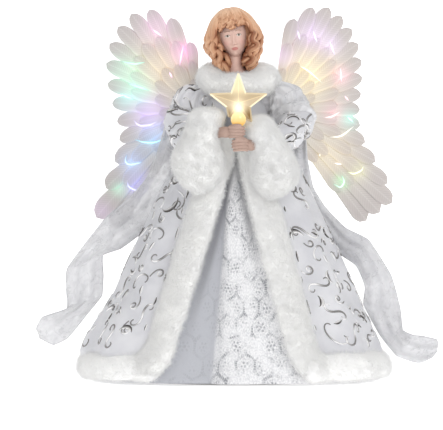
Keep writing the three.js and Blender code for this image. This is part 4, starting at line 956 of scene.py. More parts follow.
sleeveRuns = dict(  # x, y, z of the centre and the radius, from the shoulder to the cuff
    right=[
        (-18, 1, 224, 10), (-33, -1, 223, 13.5), (-42, -7, 209, 13.5), (-40.5, -22, 198, 12),
        (-37, -42, 192, 11.5), (-27, -56, 191, 9),
    ],
    left=[
        (18, 1, 224, 10), (35, -1, 223, 14.5), (46, -8, 210, 15.5), (47, -23, 202.5, 12.5),
        (40, -43, 195, 11), (26, -56, 190, 8.5),
    ],
)
sleeveLook = dict(
    start=0.02, along=110, turns=84, thick=1.0, crease=1.2, creases=(9, 1.6), gather=1.5,
    gathers=(10, 2.5, 17), gatherAt=(0.22, 0.13), map=(15, 90),
    foilMap=(92.0, 14.0), foilFrom=dict(right=10.0, left=50.0), foilGaps=(18.0, 19.0), foilRound=88,
    foilEnds=(4, 90), foilWide=0.9, jitter=4, seeds=(80, 90, 95),
)


def sleevePoint(name, p, q, extra=0.0):  # radius along a bent line; creases round, gathers along
    flat = np.ravel(p)
    run = np.array(sleeveRuns[name], float)
    row = spline(run, flat)
    along = unit(spline(run[:, :3], flat + 0.01) - spline(run[:, :3], flat - 0.01))
    side = unit(np.cross(along, up))
    top = np.cross(side, along)
    turn = np.ravel(q)[:, None]
    out = np.cos(turn) * side + np.sin(turn) * top
    rings, slant = sleeveLook["creases"]
    crease = sleeveLook["crease"] * np.sin(rings * np.pi * flat + slant * np.sin(turn[:, 0] + 1))
    crease = crease * np.sin(np.pi * flat)
    pleats, sway, swings = sleeveLook["gathers"]
    at, wide = sleeveLook["gatherAt"]
    gather = np.sin(pleats * turn[:, 0] + sway * np.sin(swings * flat)) * bell(flat - at, wide)
    extra = np.ravel(extra) + sleeveLook["gather"] * gather
    place = row[:, :3] + (row[:, 3] + crease + extra)[:, None] * out
    return place.reshape(np.shape(p) + (3,))


def sleeveMap(p, q):  # cloth coordinates: round, then along
    wide, long = sleeveLook["map"]
    return q * wide, p * long


def makeSleeve(name):  # cloth, then foil strokes in rows along and round it
    sign = int(signs[name])
    along = np.linspace(sleeveLook["start"], 1, sleeveLook["along"])
    p, q = np.meshgrid(along, circle(sleeveLook["turns"]))
    outer, inner = [sleevePoint(name, p, q, -under) for under in (0.0, sleeveLook["thick"])]
    made = clothPiece(name + "SleeveCloth", outer, inner, "satin", [name + "_sleeve"], sleeveMap(p, q), True)
    spread, motif, tone = [seed + sign for seed in sleeveLook["seeds"]]
    long, wide = sleeveLook["foilMap"]
    alongGap, roundGap = sleeveLook["foilGaps"]
    rows = np.arange(sleeveLook["foilFrom"][name], long, alongGap)
    places = np.array([(a, b) for a in rows for b in np.arange(0, sleeveLook["foilRound"], roundGap)])
    jitter = sleeveLook["jitter"]
    centres = places + np.random.default_rng(spread).uniform(-jitter, jitter, places.shape)
    paths, wides, bold = foilStrokes(centres, motif)
    low, high = sleeveLook["foilEnds"]
    inside = ((paths[..., 0] > low) & (paths[..., 0] < high)).all(1)
    paths, wides, bold = paths[inside], sleeveLook["foilWide"] * wides[inside], bold[inside]
    here, normal = onCloth(lambda a, b: sleevePoint(name, a / long, b / wide), paths)
    line = np.array(sleeveRuns[name], float)[:, :3]
    centre = spline(line, np.ravel(paths[..., 0] / long)).reshape(here.shape)
    normal = normal * np.sign((normal * (here - centre)).sum(-1, keepdims=True))
    foilPiece(name + "SleeveFoil", here, normal, wides, bold, tone)


for name in signs:
    makeSleeve(name)

wrapLook = dict(
    start=0.12, end=0.47, slant=0.09, along=90, turns=84, lift=1.2, fold=0.5, roll=1.4,
    rollAt=(0.92, 0.06), hem=0.96, least=0.5, thick=0.4, veil=0.93,
)


def makeWrap():  # the left scarf's end, wound round the upper arm; a roll of cloth at its lower edge
    q = circle(wrapLook["turns"])[:, None]
    share = np.linspace(0, 1, wrapLook["along"])[None, :]
    p = lerp(wrapLook["start"], wrapLook["end"] + wrapLook["slant"] * np.maximum(0, np.sin(q)), share)
    q = q + 0 * p
    lift = wrapLook["lift"] + wrapLook["fold"] * np.sin(70 * p + np.sin(2 * q) + 3 * np.sin(q))
    at, wide = wrapLook["rollAt"]
    lift = lift + wrapLook["roll"] * bell(share - at, wide)
    lift = lift * ramp(1.0, wrapLook["hem"], share) + wrapLook["least"]
    outer, inner = [sleevePoint("left", p, q, lift - under) for under in (0.0, wrapLook["thick"])]
    made = clothPiece("leftScarfWrap", outer, inner, "organza", (), sleeveMap(p, q), True,
                      veil=wrapLook["veil"])


makeWrap()


# scarves: sheer ribbon, rows of centre and half width in mm

scarfRuns = dict(  # x, y, z of the centre, then the half width as a vector
    right=[
        (-40, 2, 216, 4, 3, -1), (-50, 10, 205, 6, 4, -1), (-54, 2, 185, 8, -4, 0),
        (-57, -9, 164, 11, -10, -3), (-66, 8, 148, 9, 3, -10), (-80, 11, 132.5, 7, 4, -13),
        (-98, 4, 118, 6.5, 2, -12.3), (-120, -5, 96, 14.5, -2, 5), (-120.5, 2, 78.5, 14.8, 2, 5.5),
        (-121, 6, 63, 14.2, -1, 4.6), (-133, -1, 52.5, 12.6, 0, -2), (-144.4, -3, 42.8, 10.2, 2, -8.6),
        (-152, 1, 37, 6.4, 2, -8.2), (-158, 4, 37.4, 1.6, 0, -4),
    ],
    left=[
        (40, 2, 216, 4, -3, 1), (50, 12, 203, 6, -4, 1), (50, 6, 178, 8, -2, 0), (52, 2, 156, 10, 6, 0),
        (63, 14, 136, 9, 2, 4), (84.5, 13, 113, 3, -6, 9.5), (101.5, 2, 102.5, 5, -2, 10.4),
        (114, -4, 80, 10.6, 2, 5), (117.2, 2, 60, 14.8, 1, -1), (124.5, 1, 39, 9.6, -2, 2),
        (135, -5, 28.6, 6.4, 1, 8.6), (148, -1, 25.2, 2, 0, 11), (159, 3, 26, 1.8, 0, 7.6),
        (162, 3, 27, 0.6, 0, 4),
    ],
)
scarfLook = dict(
    along=180, across=23, thick=0.3, crease=1.0, fold=0.6, full=10, veil=dict(right=0.62, left=0.76),
    border=0.2, borderAt=(0.86, 0.98),
)


def makeScarf(name):  # between a curve and straight folds through the rows; creases are a slanting sine
    run = np.array(scarfRuns[name], float)
    t = np.linspace(0, 1, scarfLook["along"])
    straight = np.stack([np.interp(t, np.linspace(0, 1, len(run)), column) for column in run.T], -1)
    row = lerp(spline(run, t), straight, scarfLook["fold"])
    half = row[:, 3:]
    normal = unit(np.cross(unit(np.gradient(row[:, :3], axis=0)), half))[:, None]
    s = np.linspace(-1, 1, scarfLook["across"])[None, :]
    t = t[:, None]
    wide = np.linalg.norm(half, axis=1)[:, None]
    crease = scarfLook["crease"] * np.sin(2.3 * s * np.pi + 9 * t) * ramp(0, 0.05, t)
    crease = crease * np.minimum(1, wide / scarfLook["full"])
    place = row[:, None, :3] + s[..., None] * half[:, None] + crease[..., None] * normal
    outer, inner = place + scarfLook["thick"] * normal, place - scarfLook["thick"] * normal
    length = np.concatenate([[0], np.cumsum(np.linalg.norm(np.diff(row[:, :3], axis=0), axis=1))])
    veil = scarfLook["veil"][name] + scarfLook["border"] * ramp(*scarfLook["borderAt"], np.abs(s))
    made = clothPiece(name + "ScarfCloth", outer, inner, "organza", [name + "_scarf"],
                      (s * wide, length[:, None]), veil=veil)


for name in signs:
    makeScarf(name)
print("stage: sleeves and scarves")


# head: ball of rows from crown to chin, columns closer together in front; features are bumps

headLook = dict(
    centre=(-2.0, -9.0, 275.8), half=(12.5, 14.0, 18.5), tilt=-8.0, jaw=0.3, rows=190, columns=220,
    skin=(0.80, 0.55, 0.47), blush=(0.74, 0.34, 0.30), lips=(0.55, 0.17, 0.16), brow=(0.30, 0.15, 0.08),
    white=(0.80, 0.76, 0.72), iris=(0.10, 0.09, 0.06), lash=(0.10, 0.05, 0.03), nose=(2.3, 1.5),
    mouth=(2.7, -10.9, 1.35), eye=(4.5, 1.9, -0.5, 0.95), spread=(0.45, 0.55),
)
faceBumps = [  # height, then middle and width aside, then middle and width upward
    (0.6, 1.7, 0.8, -6.9, 1.0), (-1.0, 4.5, 2.6, -0.2, 2.0), (0.7, 4.5, 1.8, -0.5, 1.1),
    (0.5, 4.2, 3.0, 3.0, 1.3), (0.8, 6.2, 3.0, -6.0, 3.0), (0.55, 0.0, 2.6, -10.1, 0.7),
    (0.65, 0.0, 2.2, -11.6, 0.8), (-0.35, 0.0, 2.8, -10.8, 0.3), (0.9, 0.0, 2.8, -15.4, 2.0),
]
neckLook = dict(  # rows: x, y, z of the centre and the radius
    # light: the neck's paint over the face's skin, painted light where the hair and collar shade it
    points=40, sides=40, light=1.1,
    rows=[
        (0, -4, 236, 16), (0, -4.2, 243, 14), (-0.4, -5.0, 248, 8.5), (-0.8, -6.0, 254, 6.4),
        (-1.0, -7.0, 262, 6.2), (-1.2, -7.5, 268, 6.0),
    ],
)


def tilted(points):  # from the head's own axes to the frame
    turn = np.radians(headLook["tilt"])
    x, y, z = np.moveaxis(points, -1, 0)
    leaned = np.stack([x * np.cos(turn) + z * np.sin(turn), y, z * np.cos(turn) - x * np.sin(turn)], -1)
    return leaned + np.array(headLook["centre"])


def tiltedBall(grid):  # closed surface in the head's axes, moved to the frame
    v, q, t = ball(grid)
    return faceOut((tilted(v), q, t))


def skull(polar, azimuth, lift=0.0):  # oval narrowed to the jaw; polar 0 at the crown, azimuth 0 in front
    wide, deep, tall = headLook["half"]
    jaw = 1 - headLook["jaw"] * np.maximum(0, -np.cos(polar)) ** 1.5
    flat = np.sin(polar)
    x = (wide + lift) * flat * np.sin(azimuth) * jaw
    y = -(deep + lift) * flat * np.cos(azimuth) * jaw
    return np.stack(np.broadcast_arrays(x, y, (tall + lift) * np.cos(polar)), -1)


def makeHead():  # skull pushed out by the bumps, painted in dabs, on a neck
    polar = np.linspace(0, np.pi, headLook["rows"])[:, None]
    t = np.linspace(-1, 1, headLook["columns"], endpoint=False)[None, :]
    even, bent = headLook["spread"]
    azimuth = np.pi * (even * t + bent * t ** 3)
    x, y, z = np.moveaxis(skull(polar, azimuth), -1, 0)
    side = np.abs(x)
    front = ramp(0.15, 0.6, np.sin(polar) * np.cos(azimuth))
    high, wide = headLook["nose"]
    bridge = lerp(0.25, 1.0, ramp(1.0, -6.6, z)) * ramp(2.5, 0.0, z) * ramp(-8.4, -7.2, z)
    push = high * bell(x, wide) * bridge
    for high, aside, wide, upward, tall in faceBumps:
        push = push + high * bell(side - aside, wide) * bell(z - upward, tall)
    grid = np.stack([x, y - push * front, z], -1)
    wide, upward, tall = headLook["mouth"]
    mouth = (x / wide) ** 2 + ((z - upward) / tall) ** 2
    aside, wide, upward, tall = headLook["eye"]
    eye = ((side - aside) / wide) ** 2 + ((z - upward) / tall) ** 2
    dabs = dict(  # how much of each paint, in turn
        blush=0.35 * bell(side - 6.0, 2.6) * bell(z + 6.0, 2.2),
        lips=0.8 * ramp(1.1, 0.7, mouth),
        white=0.9 * ramp(1.05, 0.85, eye),
        iris=ramp(1.05, 0.8, eye) * ramp(0.95, 0.75, np.hypot(side - aside, z + 0.4)),
        lash=ramp(0.75, 1.0, eye) * ramp(1.5, 1.15, eye) * ramp(-0.6, 0.1, z + 0.3),
        brow=0.75 * bell(z - 3.3 + 0.1 * (side - 4.4) ** 2, 0.42) * ramp(2.7, 2.0, np.abs(side - 4.4)),
    )
    paint = np.broadcast_to(headLook["skin"], grid.shape)
    for shade, amount in dabs.items():
        paint = lerp(paint, headLook[shade], np.clip((amount * front)[..., None], 0, 1))
    rows = spline(neckLook["rows"], np.linspace(0, 1, neckLook["points"]))[None]
    neck = tubes(rows[..., :3], rows[..., 3], rows[..., 3], np.array([0.0, 1.0, 0.0]), neckLook["sides"])
    # painted light: the neck is painted lighter than the face against the shade of the hair and collar
    litNeckPaint = np.broadcast_to(neckLook["light"] * np.array(headLook["skin"]), neck[0].shape)
    piece("headCast", joined(tiltedBall(grid), faceOut(neck)), "skin", ["head"],
          paint=np.concatenate([onBall(paint), litNeckPaint]))


makeHead()


# hair: locks as grooved tubes over a cap

hairLook = dict(  # crown: polar degrees and lift; fall: share down and bulge
    # light: painted highlight; dark: painted shade and wash; shade and shadeAt: painted shade down the long
    # locks
    light=(0.92, 0.60, 0.39), mid=(0.66, 0.35, 0.20), dark=(0.25, 0.075, 0.028), points=70, sides=12,
    seed=5, curl=1.7, turns=6.0, middle=(0.0, 0.0, -4.0), longHalf=(2.5, 2.1), fringeHalf=(1.7, 1.5),
    crown=[(1, 2.4), (12, 2.6), (30, 3.3), (54, 4.8), (74, 6.4)],
    fall=[(0.0, 8.2), (0.2, 8.6), (0.4, 6.4), (0.6, 3.6), (0.8, 0.5), (1.0, -4.5)],
    fringe=(1, 18, 30, 39, 47, 54, 60, 64, 68, 71, 74), inner=(26, 3.4), outer=(34, 0.0), fringes=34,
    curlAt=(0.42, 0.62), ends=(0.12, 0.25), streak=0.14, bands=(0.12, 17), shade=0.40, shadeAt=(0.25, 0.55),
    spread=(56, 304), drop=(-31, -26), fringeSpread=(-62, 62), fringeSweep=(-0.34, 0.46), fringeDrop=(-9, 3),
    cap=(70, 90), capLift=2.8, capSink=4.4, capShade=0.3,
)


def lockPaint(count, rng):  # a painted highlight on the top of a lock, painted shade with the hair's darker wash in the valleys, darker streaks
    along = np.linspace(0, 1, hairLook["points"])[:, None]
    streak = rng.normal(0, hairLook["streak"], (count, 1, hairLook["sides"]))
    deep, bands = hairLook["bands"]
    streak = streak + deep * np.sin(along * bands + rng.uniform(0, 6, (count, 1, 1)))
    # lighter on top of each lock, darker underneath: a painted highlight and painted shade, with the hair's
    # darker wash
    value = 0.5 + 0.5 * np.sin(circle(hairLook["sides"])) + streak
    # painted shade lower down the locks, among the curls
    value = value - hairLook["shade"] * ramp(*hairLook["shadeAt"], along)
    value = np.concatenate([value.reshape(count, -1), np.full((count, 2), 0.4)], 1).reshape(-1, 1)
    low = lerp(hairLook["dark"], hairLook["mid"], np.clip(value * 2, 0, 1))
    return lerp(low, hairLook["light"], np.clip(value * 1.6 - 0.8, 0, 1))


def locks(controls, across, lift, rng, curl=0.0):  # along controls in the head's axes, curled low down
    t = np.linspace(0, 1, hairLook["points"])
    paths = np.moveaxis(spline(controls, t), 1, 0)
    count = len(paths)
    out = unit(paths - np.array(hairLook["middle"]))
    side = unit(np.cross(unit(np.gradient(paths, axis=1)), out))
    wind = (2 * np.pi * hairLook["turns"] * t[None, :] + rng.uniform(0, 2 * np.pi, (count, 1)))[..., None]
    amount = (curl * ramp(*hairLook["curlAt"], t))[None, :, None]
    paths = paths + amount * (np.cos(wind) * out + np.sin(wind) * side)
    body = roundEnds(t, *hairLook["ends"])[None] * np.ones((count, 1))
    rise = unit(tilted(paths + out) - tilted(paths))
    return tubes(tilted(paths), across * body, lift * body, rise, hairLook["sides"]), lockPaint(count, rng)


def longLocks(count, inset, rng):  # over the crown, out at the ears, in towards the neck
    turn = np.radians(np.linspace(*hairLook["spread"], count) + rng.uniform(-3, 3, count))
    wave = rng.uniform(0, 2 * np.pi, count)
    rows = []
    for degrees, lift in hairLook["crown"]:
        swirl = 0.08 * np.sin(wave + degrees / 20)
        rows.append(skull(np.radians(degrees), turn + swirl, lift - 0.3 * inset))
    rim = skull(np.radians(90.0), turn, 0.0) * np.array([1, 1, 0])
    outward = unit(rim)
    sideways = np.stack([-outward[:, 1], outward[:, 0], 0 * turn], -1)
    ends = rng.uniform(*hairLook["drop"], count) + inset
    for k, (share, bulge) in enumerate(hairLook["fall"]):
        swing = 1.2 * np.sin(wave + 2.4 * k)
        reach = bulge - inset + 0.9 * np.cos(wave + 2.4 * k)
        down = lerp(0.0, ends, share)[:, None] * up
        rows.append(rim + reach[:, None] * outward + swing[:, None] * sideways + down)
    return locks(np.array(rows), *hairLook["longHalf"], rng, hairLook["curl"])


def fringeLocks(count, rng):  # from the crown down the forehead, parting to both sides in small waves
    share = np.linspace(0, 1, count)
    start = np.radians(lerp(*hairLook["fringeSpread"], share) + rng.uniform(-5, 5, count))
    sweep = lerp(*hairLook["fringeSweep"], share) + rng.uniform(-0.2, 0.2, count)
    wave = rng.uniform(0, 2 * np.pi, count)
    drop = rng.uniform(*hairLook["fringeDrop"], count)
    rows = []
    for k, degrees in enumerate(hairLook["fringe"]):
        part = degrees / hairLook["fringe"][-1]
        curl = np.sin(wave + 2.1 * k) * part ** 2
        polar = np.radians(degrees + drop * part ** 3 + 3.2 * curl)
        azimuth = start + sweep * part ** 3 + 0.14 * np.cos(wave + 2.1 * k) * part ** 2
        rows.append(skull(polar, azimuth, 1.8 + 2.4 * np.sin(np.pi * part * 0.8)))
    return locks(np.array(rows), *hairLook["fringeHalf"], rng)


def makeHair():  # a cap over the skull, sunk at the face and the neck, and two layers of locks and a fringe
    rng = np.random.default_rng(hairLook["seed"])
    rows, columns = hairLook["cap"]
    polar = np.linspace(0, np.pi, rows)[:, None]
    azimuth = np.linspace(-np.pi, np.pi, columns, endpoint=False)[None, :]
    face = ramp(*np.radians((66, 50)), np.abs(azimuth)) * ramp(*np.radians((58, 72)), polar)
    sunk = np.maximum(face, ramp(*np.radians((110, 140)), polar))
    cap = tiltedBall(skull(polar, azimuth, hairLook["capLift"] - hairLook["capSink"] * sunk))
    # painted shade: the cap, seen between the locks, is painted part way to the dark tone
    shade = lerp(hairLook["mid"], hairLook["dark"], hairLook["capShade"])
    layers = [(cap, np.broadcast_to(shade, cap[0].shape))]
    layers += [longLocks(*hairLook[layer], rng) for layer in ("inner", "outer")]
    layers += [fringeLocks(hairLook["fringes"], rng)]
    surfaces, paints = zip(*layers)
    piece("hairCast", joined(*surfaces), "hair", ["hair"], paint=np.concatenate(paints))


makeHair()
print("stage: head and hair")


# hands: fingers, thumb, palm and wrist as tubes, run together into one skin

handLook = dict(
    stem=(2.0, -74.0), heights=dict(right=197.4, left=187.2), voxel=0.35, soft=(0.5, 4), pitch=2.45,
    size=0.86, points=20, tone=(0.475, 0.33, 0.275), shorts=(1.0, 0.6, 0.9, 2.2),
    finger=(1.4, 1.0, 0.1), knuckles=[(8.5, -1.5, 0), (6.0, -5.2, 0.2), (1.5, -6.6, 0.1)],
    thumb=(1.7, 1.1, 0.12),
    thumbKnots=[(9.0, 1.0, 3.2), (5.0, -4.0, 5.6), (0.5, -6.8, 6.2), (-3.0, -7.0, 5.6)],
    palmKnots=[(5.0, 1.0, 0), (9.0, 0.5, 0), (13.0, 3.0, 0), (17.0, 7.0, -1.0)],
    palm=[[2.7], [3.8], [3.6], [3.2]], palmOval=(0.8, 1.15),
)


def skinned(surface):  # one closed skin round overlapping tubes
    v, q, t = surface
    mesh = bpy.data.meshes.new("rough")
    mesh.from_pydata((v * mm).tolist(), [], q.tolist() + t.tolist())
    rough = bpy.data.objects.new("rough", mesh)
    bpy.context.scene.collection.objects.link(rough)
    skin = rough.modifiers.new("skin", "REMESH")
    skin.mode = "VOXEL"
    skin.voxel_size = handLook["voxel"] * mm
    soft = rough.modifiers.new("soft", "SMOOTH")
    soft.factor, soft.iterations = handLook["soft"]
    ready = rough.evaluated_get(bpy.context.evaluated_depsgraph_get())
    result = bpy.data.meshes.new_from_object(ready)
    co = np.zeros(len(result.vertices) * 3)
    result.vertices.foreach_get("co", co)
    result.calc_loop_triangles()
    faces = np.zeros(len(result.loop_triangles) * 3, int)
    result.loop_triangles.foreach_get("vertices", faces)
    bpy.data.objects.remove(rough)
    bpy.data.meshes.remove(mesh)
    bpy.data.meshes.remove(result)
    return co.reshape(-1, 3) / mm, noQuads, faces.reshape(-1, 3)


def makeHand(name):  # tubes through knots given from the stem, mirrored for the other hand
    sign = signs[name]
    x0, y0 = handLook["stem"]
    z0 = handLook["heights"][name]
    t = np.linspace(0, 1, handLook["points"])
    size = handLook["size"]

    def digit(knots, z, rise, half):  # tube that narrows to its end
        path = np.array([(x0 + sign * size * a, y0 + size * b, z + rise * c) for a, b, c in knots])
        thick = lerp(half[0], half[1], t) * (0.55 + 0.45 * roundEnds(t, half[2]))
        return tubes(spline(path, t)[None], thick, thick, up, 10)

    parts = []
    for k, short in enumerate(handLook["shorts"]):
        ends = [(-3.0 + 0.5 * short, -5.9, -0.2), (-7.0 + short, -3.0, -0.5)]
        knots = handLook["knuckles"] + ends
        parts.append(digit(knots, z0 + (1.5 - k) * handLook["pitch"], 1.0, handLook["finger"]))
    parts.append(digit(handLook["thumbKnots"], z0, size, handLook["thumb"]))
    palm = np.array([(x0 + sign * a, y0 + b, z0 + c) for a, b, c in handLook["palmKnots"]])
    wide = spline(handLook["palm"], t)[:, 0]
    across, lift = [wide * share for share in handLook["palmOval"]]
    parts.append(tubes(spline(palm, t)[None], across, lift, up, 16))
    skin = skinned(joined(*parts))
    tone = np.broadcast_to(handLook["tone"], skin[0].shape)
    piece(name + "HandCast", skin, "skin", [name + "_hand"], paint=tone)


for name in signs:
    makeHand(name)


# star: five points, ridges to the tips, valleys to the notches; the light comes from its middle

starLook = dict(
    centre=(2.0, -74.0, 220.0), radius=23.2, notch=0.41, depth=5.0, steps=18,
    tips=(1.0, 1.0, 0.76, 0.56, 1.0), rim=0.7, edges=(0.9, 0.6, 1.0, 0.4, 0.2, 0.2, 0.4, 1.0, 0.6, 0.9),
    dimRim=(0.10, 0.05, 0.01), brightRim=(1.0, 0.92, 0.66), lamp=(2.0, -78.0, 214.0),
    lampReach=(4.6, 12.0, 7.5), warm=(0.50, 0.42, 0.29), upper=(0.92, 0.83, 0.55),
    lower=(0.10, 0.05, 0.008), line=(0.55, 0.46, 0.22), hot=(1.3, 1.15, 0.8),
    upperAt=(4.0, 12.0), upperWide=(9.0, 5.0), lowerAt=(-1.0, -9.0), lineWide=0.05, lines=(0.5, 0.9),
)
bulbLook = dict(
    centre=(2.0, -74.0, 207.4), radius=6.0, rows=24, columns=32, low=(0.80, 0.46, 0.10),
    high=(1.1, 0.95, 0.5),
)


def starOutline():  # tips and notches in turn round a circle
    turn = circle(10)
    share = np.where(np.arange(10) % 2 == 0, np.repeat(starLook["tips"], 2), starLook["notch"])
    radius = share * starLook["radius"]
    flat = np.stack([radius * np.sin(turn), 0 * turn, radius * np.cos(turn)], -1)
    return flat + np.array(starLook["centre"])


def starPatch(steps):  # even triangles in a triangle: shares of its second and third corner, faces
    a, b = [grid.ravel() for grid in np.meshgrid(np.arange(steps + 1), np.arange(steps + 1))]
    keep = a + b <= steps
    a, b = a[keep], b[keep]
    index = -np.ones((steps + 1, steps + 1), int)
    index[a, b] = np.arange(len(a))
    i, j = [grid.ravel() for grid in np.meshgrid(np.arange(steps), np.arange(steps))]
    first = np.stack([index[i, j], index[i + 1, j], index[i, j + 1]], -1)[i + j < steps]
    second = np.stack([index[i + 1, j], index[i + 1, j + 1], index[i, j + 1]], -1)[i + j < steps - 1]
    return a / steps, b / steps, np.concatenate([first, second])


def starGlow(here, tip, valley):  # pale above, dark below, bright along ridges, hot at the lamp
    offset = here - np.array(starLook["centre"])
    upper = ramp(*starLook["upperAt"], offset[:, 2]) * ramp(*starLook["upperWide"], np.abs(offset[:, 0]))
    lower = ramp(*starLook["lowerAt"], offset[:, 2])[:, None]
    warm = lerp(lerp(starLook["warm"], starLook["upper"], upper[:, None]), starLook["lower"], lower)
    ridge, rim = starLook["lines"]
    wide = starLook["lineWide"]
    line = bell(valley, wide) * ridge + bell(1 - tip - valley, wide) * rim
    bright = np.array(starLook["line"]) * line[:, None] * lerp(1.0, 0.4, lower)
    lamp = (here - np.array(starLook["lamp"])) / np.array(starLook["lampReach"])
    return warm + bright + np.array(starLook["hot"]) * bell(np.linalg.norm(lamp, axis=1), 1.0)[:, None]


def makeStar():  # twenty flat patches between apex, tip and notch, welded, with a rim
    outline = starOutline()
    tip, valley, patch = starPatch(starLook["steps"])
    middle = 1 - tip - valley
    verts, tris, glows = [], [], []
    for sideOf in (-1, 1):
        apex = np.array(starLook["centre"]) + np.array([0, sideOf * starLook["depth"], 0])
        for k in range(10):
            ends = outline[k], outline[(k + 1) % 10]
            point, notch = ends if k % 2 == 0 else ends[::-1]
            outward = (k % 2 == 0) == (sideOf < 0)
            tris.append((patch if outward else patch[:, ::-1]) + len(verts) * len(tip))
            verts.append(middle[:, None] * apex + tip[:, None] * point + valley[:, None] * notch)
            glows.append(starGlow(verts[-1], tip, valley))
    keyed, back = np.unique(np.round(np.concatenate(verts), 4), axis=0, return_inverse=True)
    back = back.ravel()
    shade, share = np.zeros_like(keyed), np.zeros(len(keyed))
    np.add.at(shade, back, np.concatenate(glows))
    np.add.at(share, back, 1)
    shell = (keyed, noQuads, back[np.concatenate(tris)])
    edges = np.stack([outline, np.roll(outline, -1, 0)], 1)
    edges = lerp(edges[:, :1], edges[:, 1:], np.linspace(0, 1, 6)[None, :, None])
    rims = tubes(edges, starLook["rim"], starLook["rim"], np.array([0.0, 1.0, 0.0]), 8)
    rimShare = np.repeat(starLook["edges"], len(rims[0]) // 10)[:, None]
    rimGlow = lerp(starLook["dimRim"], starLook["brightRim"], rimShare)
    glow = np.concatenate([shade / share[:, None], rimGlow])
    piece("starCast", joined(shell, rims), "star", ["star_shell"], flat=True, glow=glow)


def makeBulb():  # ball, brighter upward
    polar = np.linspace(0, np.pi, bulbLook["rows"])[:, None]
    azimuth = np.linspace(0, 2 * np.pi, bulbLook["columns"], endpoint=False)[None, :]
    flat = np.sin(polar)
    grid = np.broadcast_arrays(flat * np.cos(azimuth), flat * np.sin(azimuth), np.cos(polar))
    bulb = ball(np.stack(grid, -1) * bulbLook["radius"] + np.array(bulbLook["centre"]))
    high = ramp(-5.0, 5.0, bulb[0][:, 2] - bulbLook["centre"][2])[:, None]
    glow = lerp(bulbLook["low"], bulbLook["high"], high)
    piece("bulbCast", bulb, "star", ["star_lamp"], "lamp", glow=glow)


makeStar()
makeBulb()
print("stage: hands and star")


# wings: feathers fanned about a root, three shingled layers; colour comes from soft spots of light

wingLook = dict(
    hinge=(12.0, 42.905, 202.0), sweep=12.0, fanOut=19.4, fanRise=15.3, root=9.0, upper=96.5,
    waist=dict(right=67.0, left=72.0), lower=dict(right=121.5, left=125.0), along=40, across=11,
    widest=6.5, tip=12.5, thick=0.12, droop=0.6, curve=2.8, fall=(0.06, 15), rises=0.4, leastStep=0.07,
    overlap=0.66, leastWide=0.03, bow=0.03, lean=(0.5, 0.45, 0.3), lowWide=(110.0, 130.0, 0.3),
    border=(0.6, 1.0), borderTone=0.07, borderGlow=(0.8, 0.5), tipAt=(0.5, 0.95),
    angles=dict(right=(6, 36, 99, 136, 143), left=(13, 31, 90, 125, 139)),
    counts=dict(right=(15, 13, 9), left=(17, 14, 10)),
    layers=dict(long=(0, 1.0, 0.8), middle=(1, 0.73, 2.2), short=(2, 0.46, 3.6)),
    rootTone=(0.80, 0.76, 0.70), tipTone=dict(right=(0.62, 0.58, 0.57), left=(0.63, 0.58, 0.56)),
)

lightSpots = dict(  # x, z, size, colour
    right=[
        (-62, 253, 21, (0.24, 0.16, 0.06)), (-89, 250, 14, (0.05, 0.30, 0.19)),
        (-78, 234, 11, (0.03, 0.30, 0.19)), (-42, 266, 10, (0.42, 0.10, 0.34)),
        (-64, 285, 13, (0.26, 0.10, 0.24)), (-90, 227, 9, (0.04, 0.24, 0.24)),
        (-71, 217, 14, (0.22, 0.12, 0.42)), (-66, 196, 13, (0.06, 0.18, 0.38)),
        (-84, 176, 10, (0.08, 0.18, 0.40)), (-79, 157, 11, (0.13, 0.13, 0.42)),
        (-95, 154, 6, (0.08, 0.32, 0.18)), (-109, 136, 8, (0.15, 0.08, 0.20)),
    ],
    left=[
        (62, 280, 13, (0.20, 0.12, 0.34)), (78, 271, 9, (0.16, 0.11, 0.28)),
        (60, 248, 22, (0.36, 0.27, 0.07)), (86, 246, 8, (0.34, 0.09, 0.18)),
        (80, 216, 9, (0.26, 0.10, 0.14)), (93, 211, 7, (0.05, 0.34, 0.28)),
        (78, 180, 20, (0.20, 0.15, 0.05)), (86, 160, 6, (0.06, 0.32, 0.14)),
        (101, 169, 7, (0.18, 0.20, 0.05)), (39, 262, 9, (0.20, 0.12, 0.30)),
    ],
)

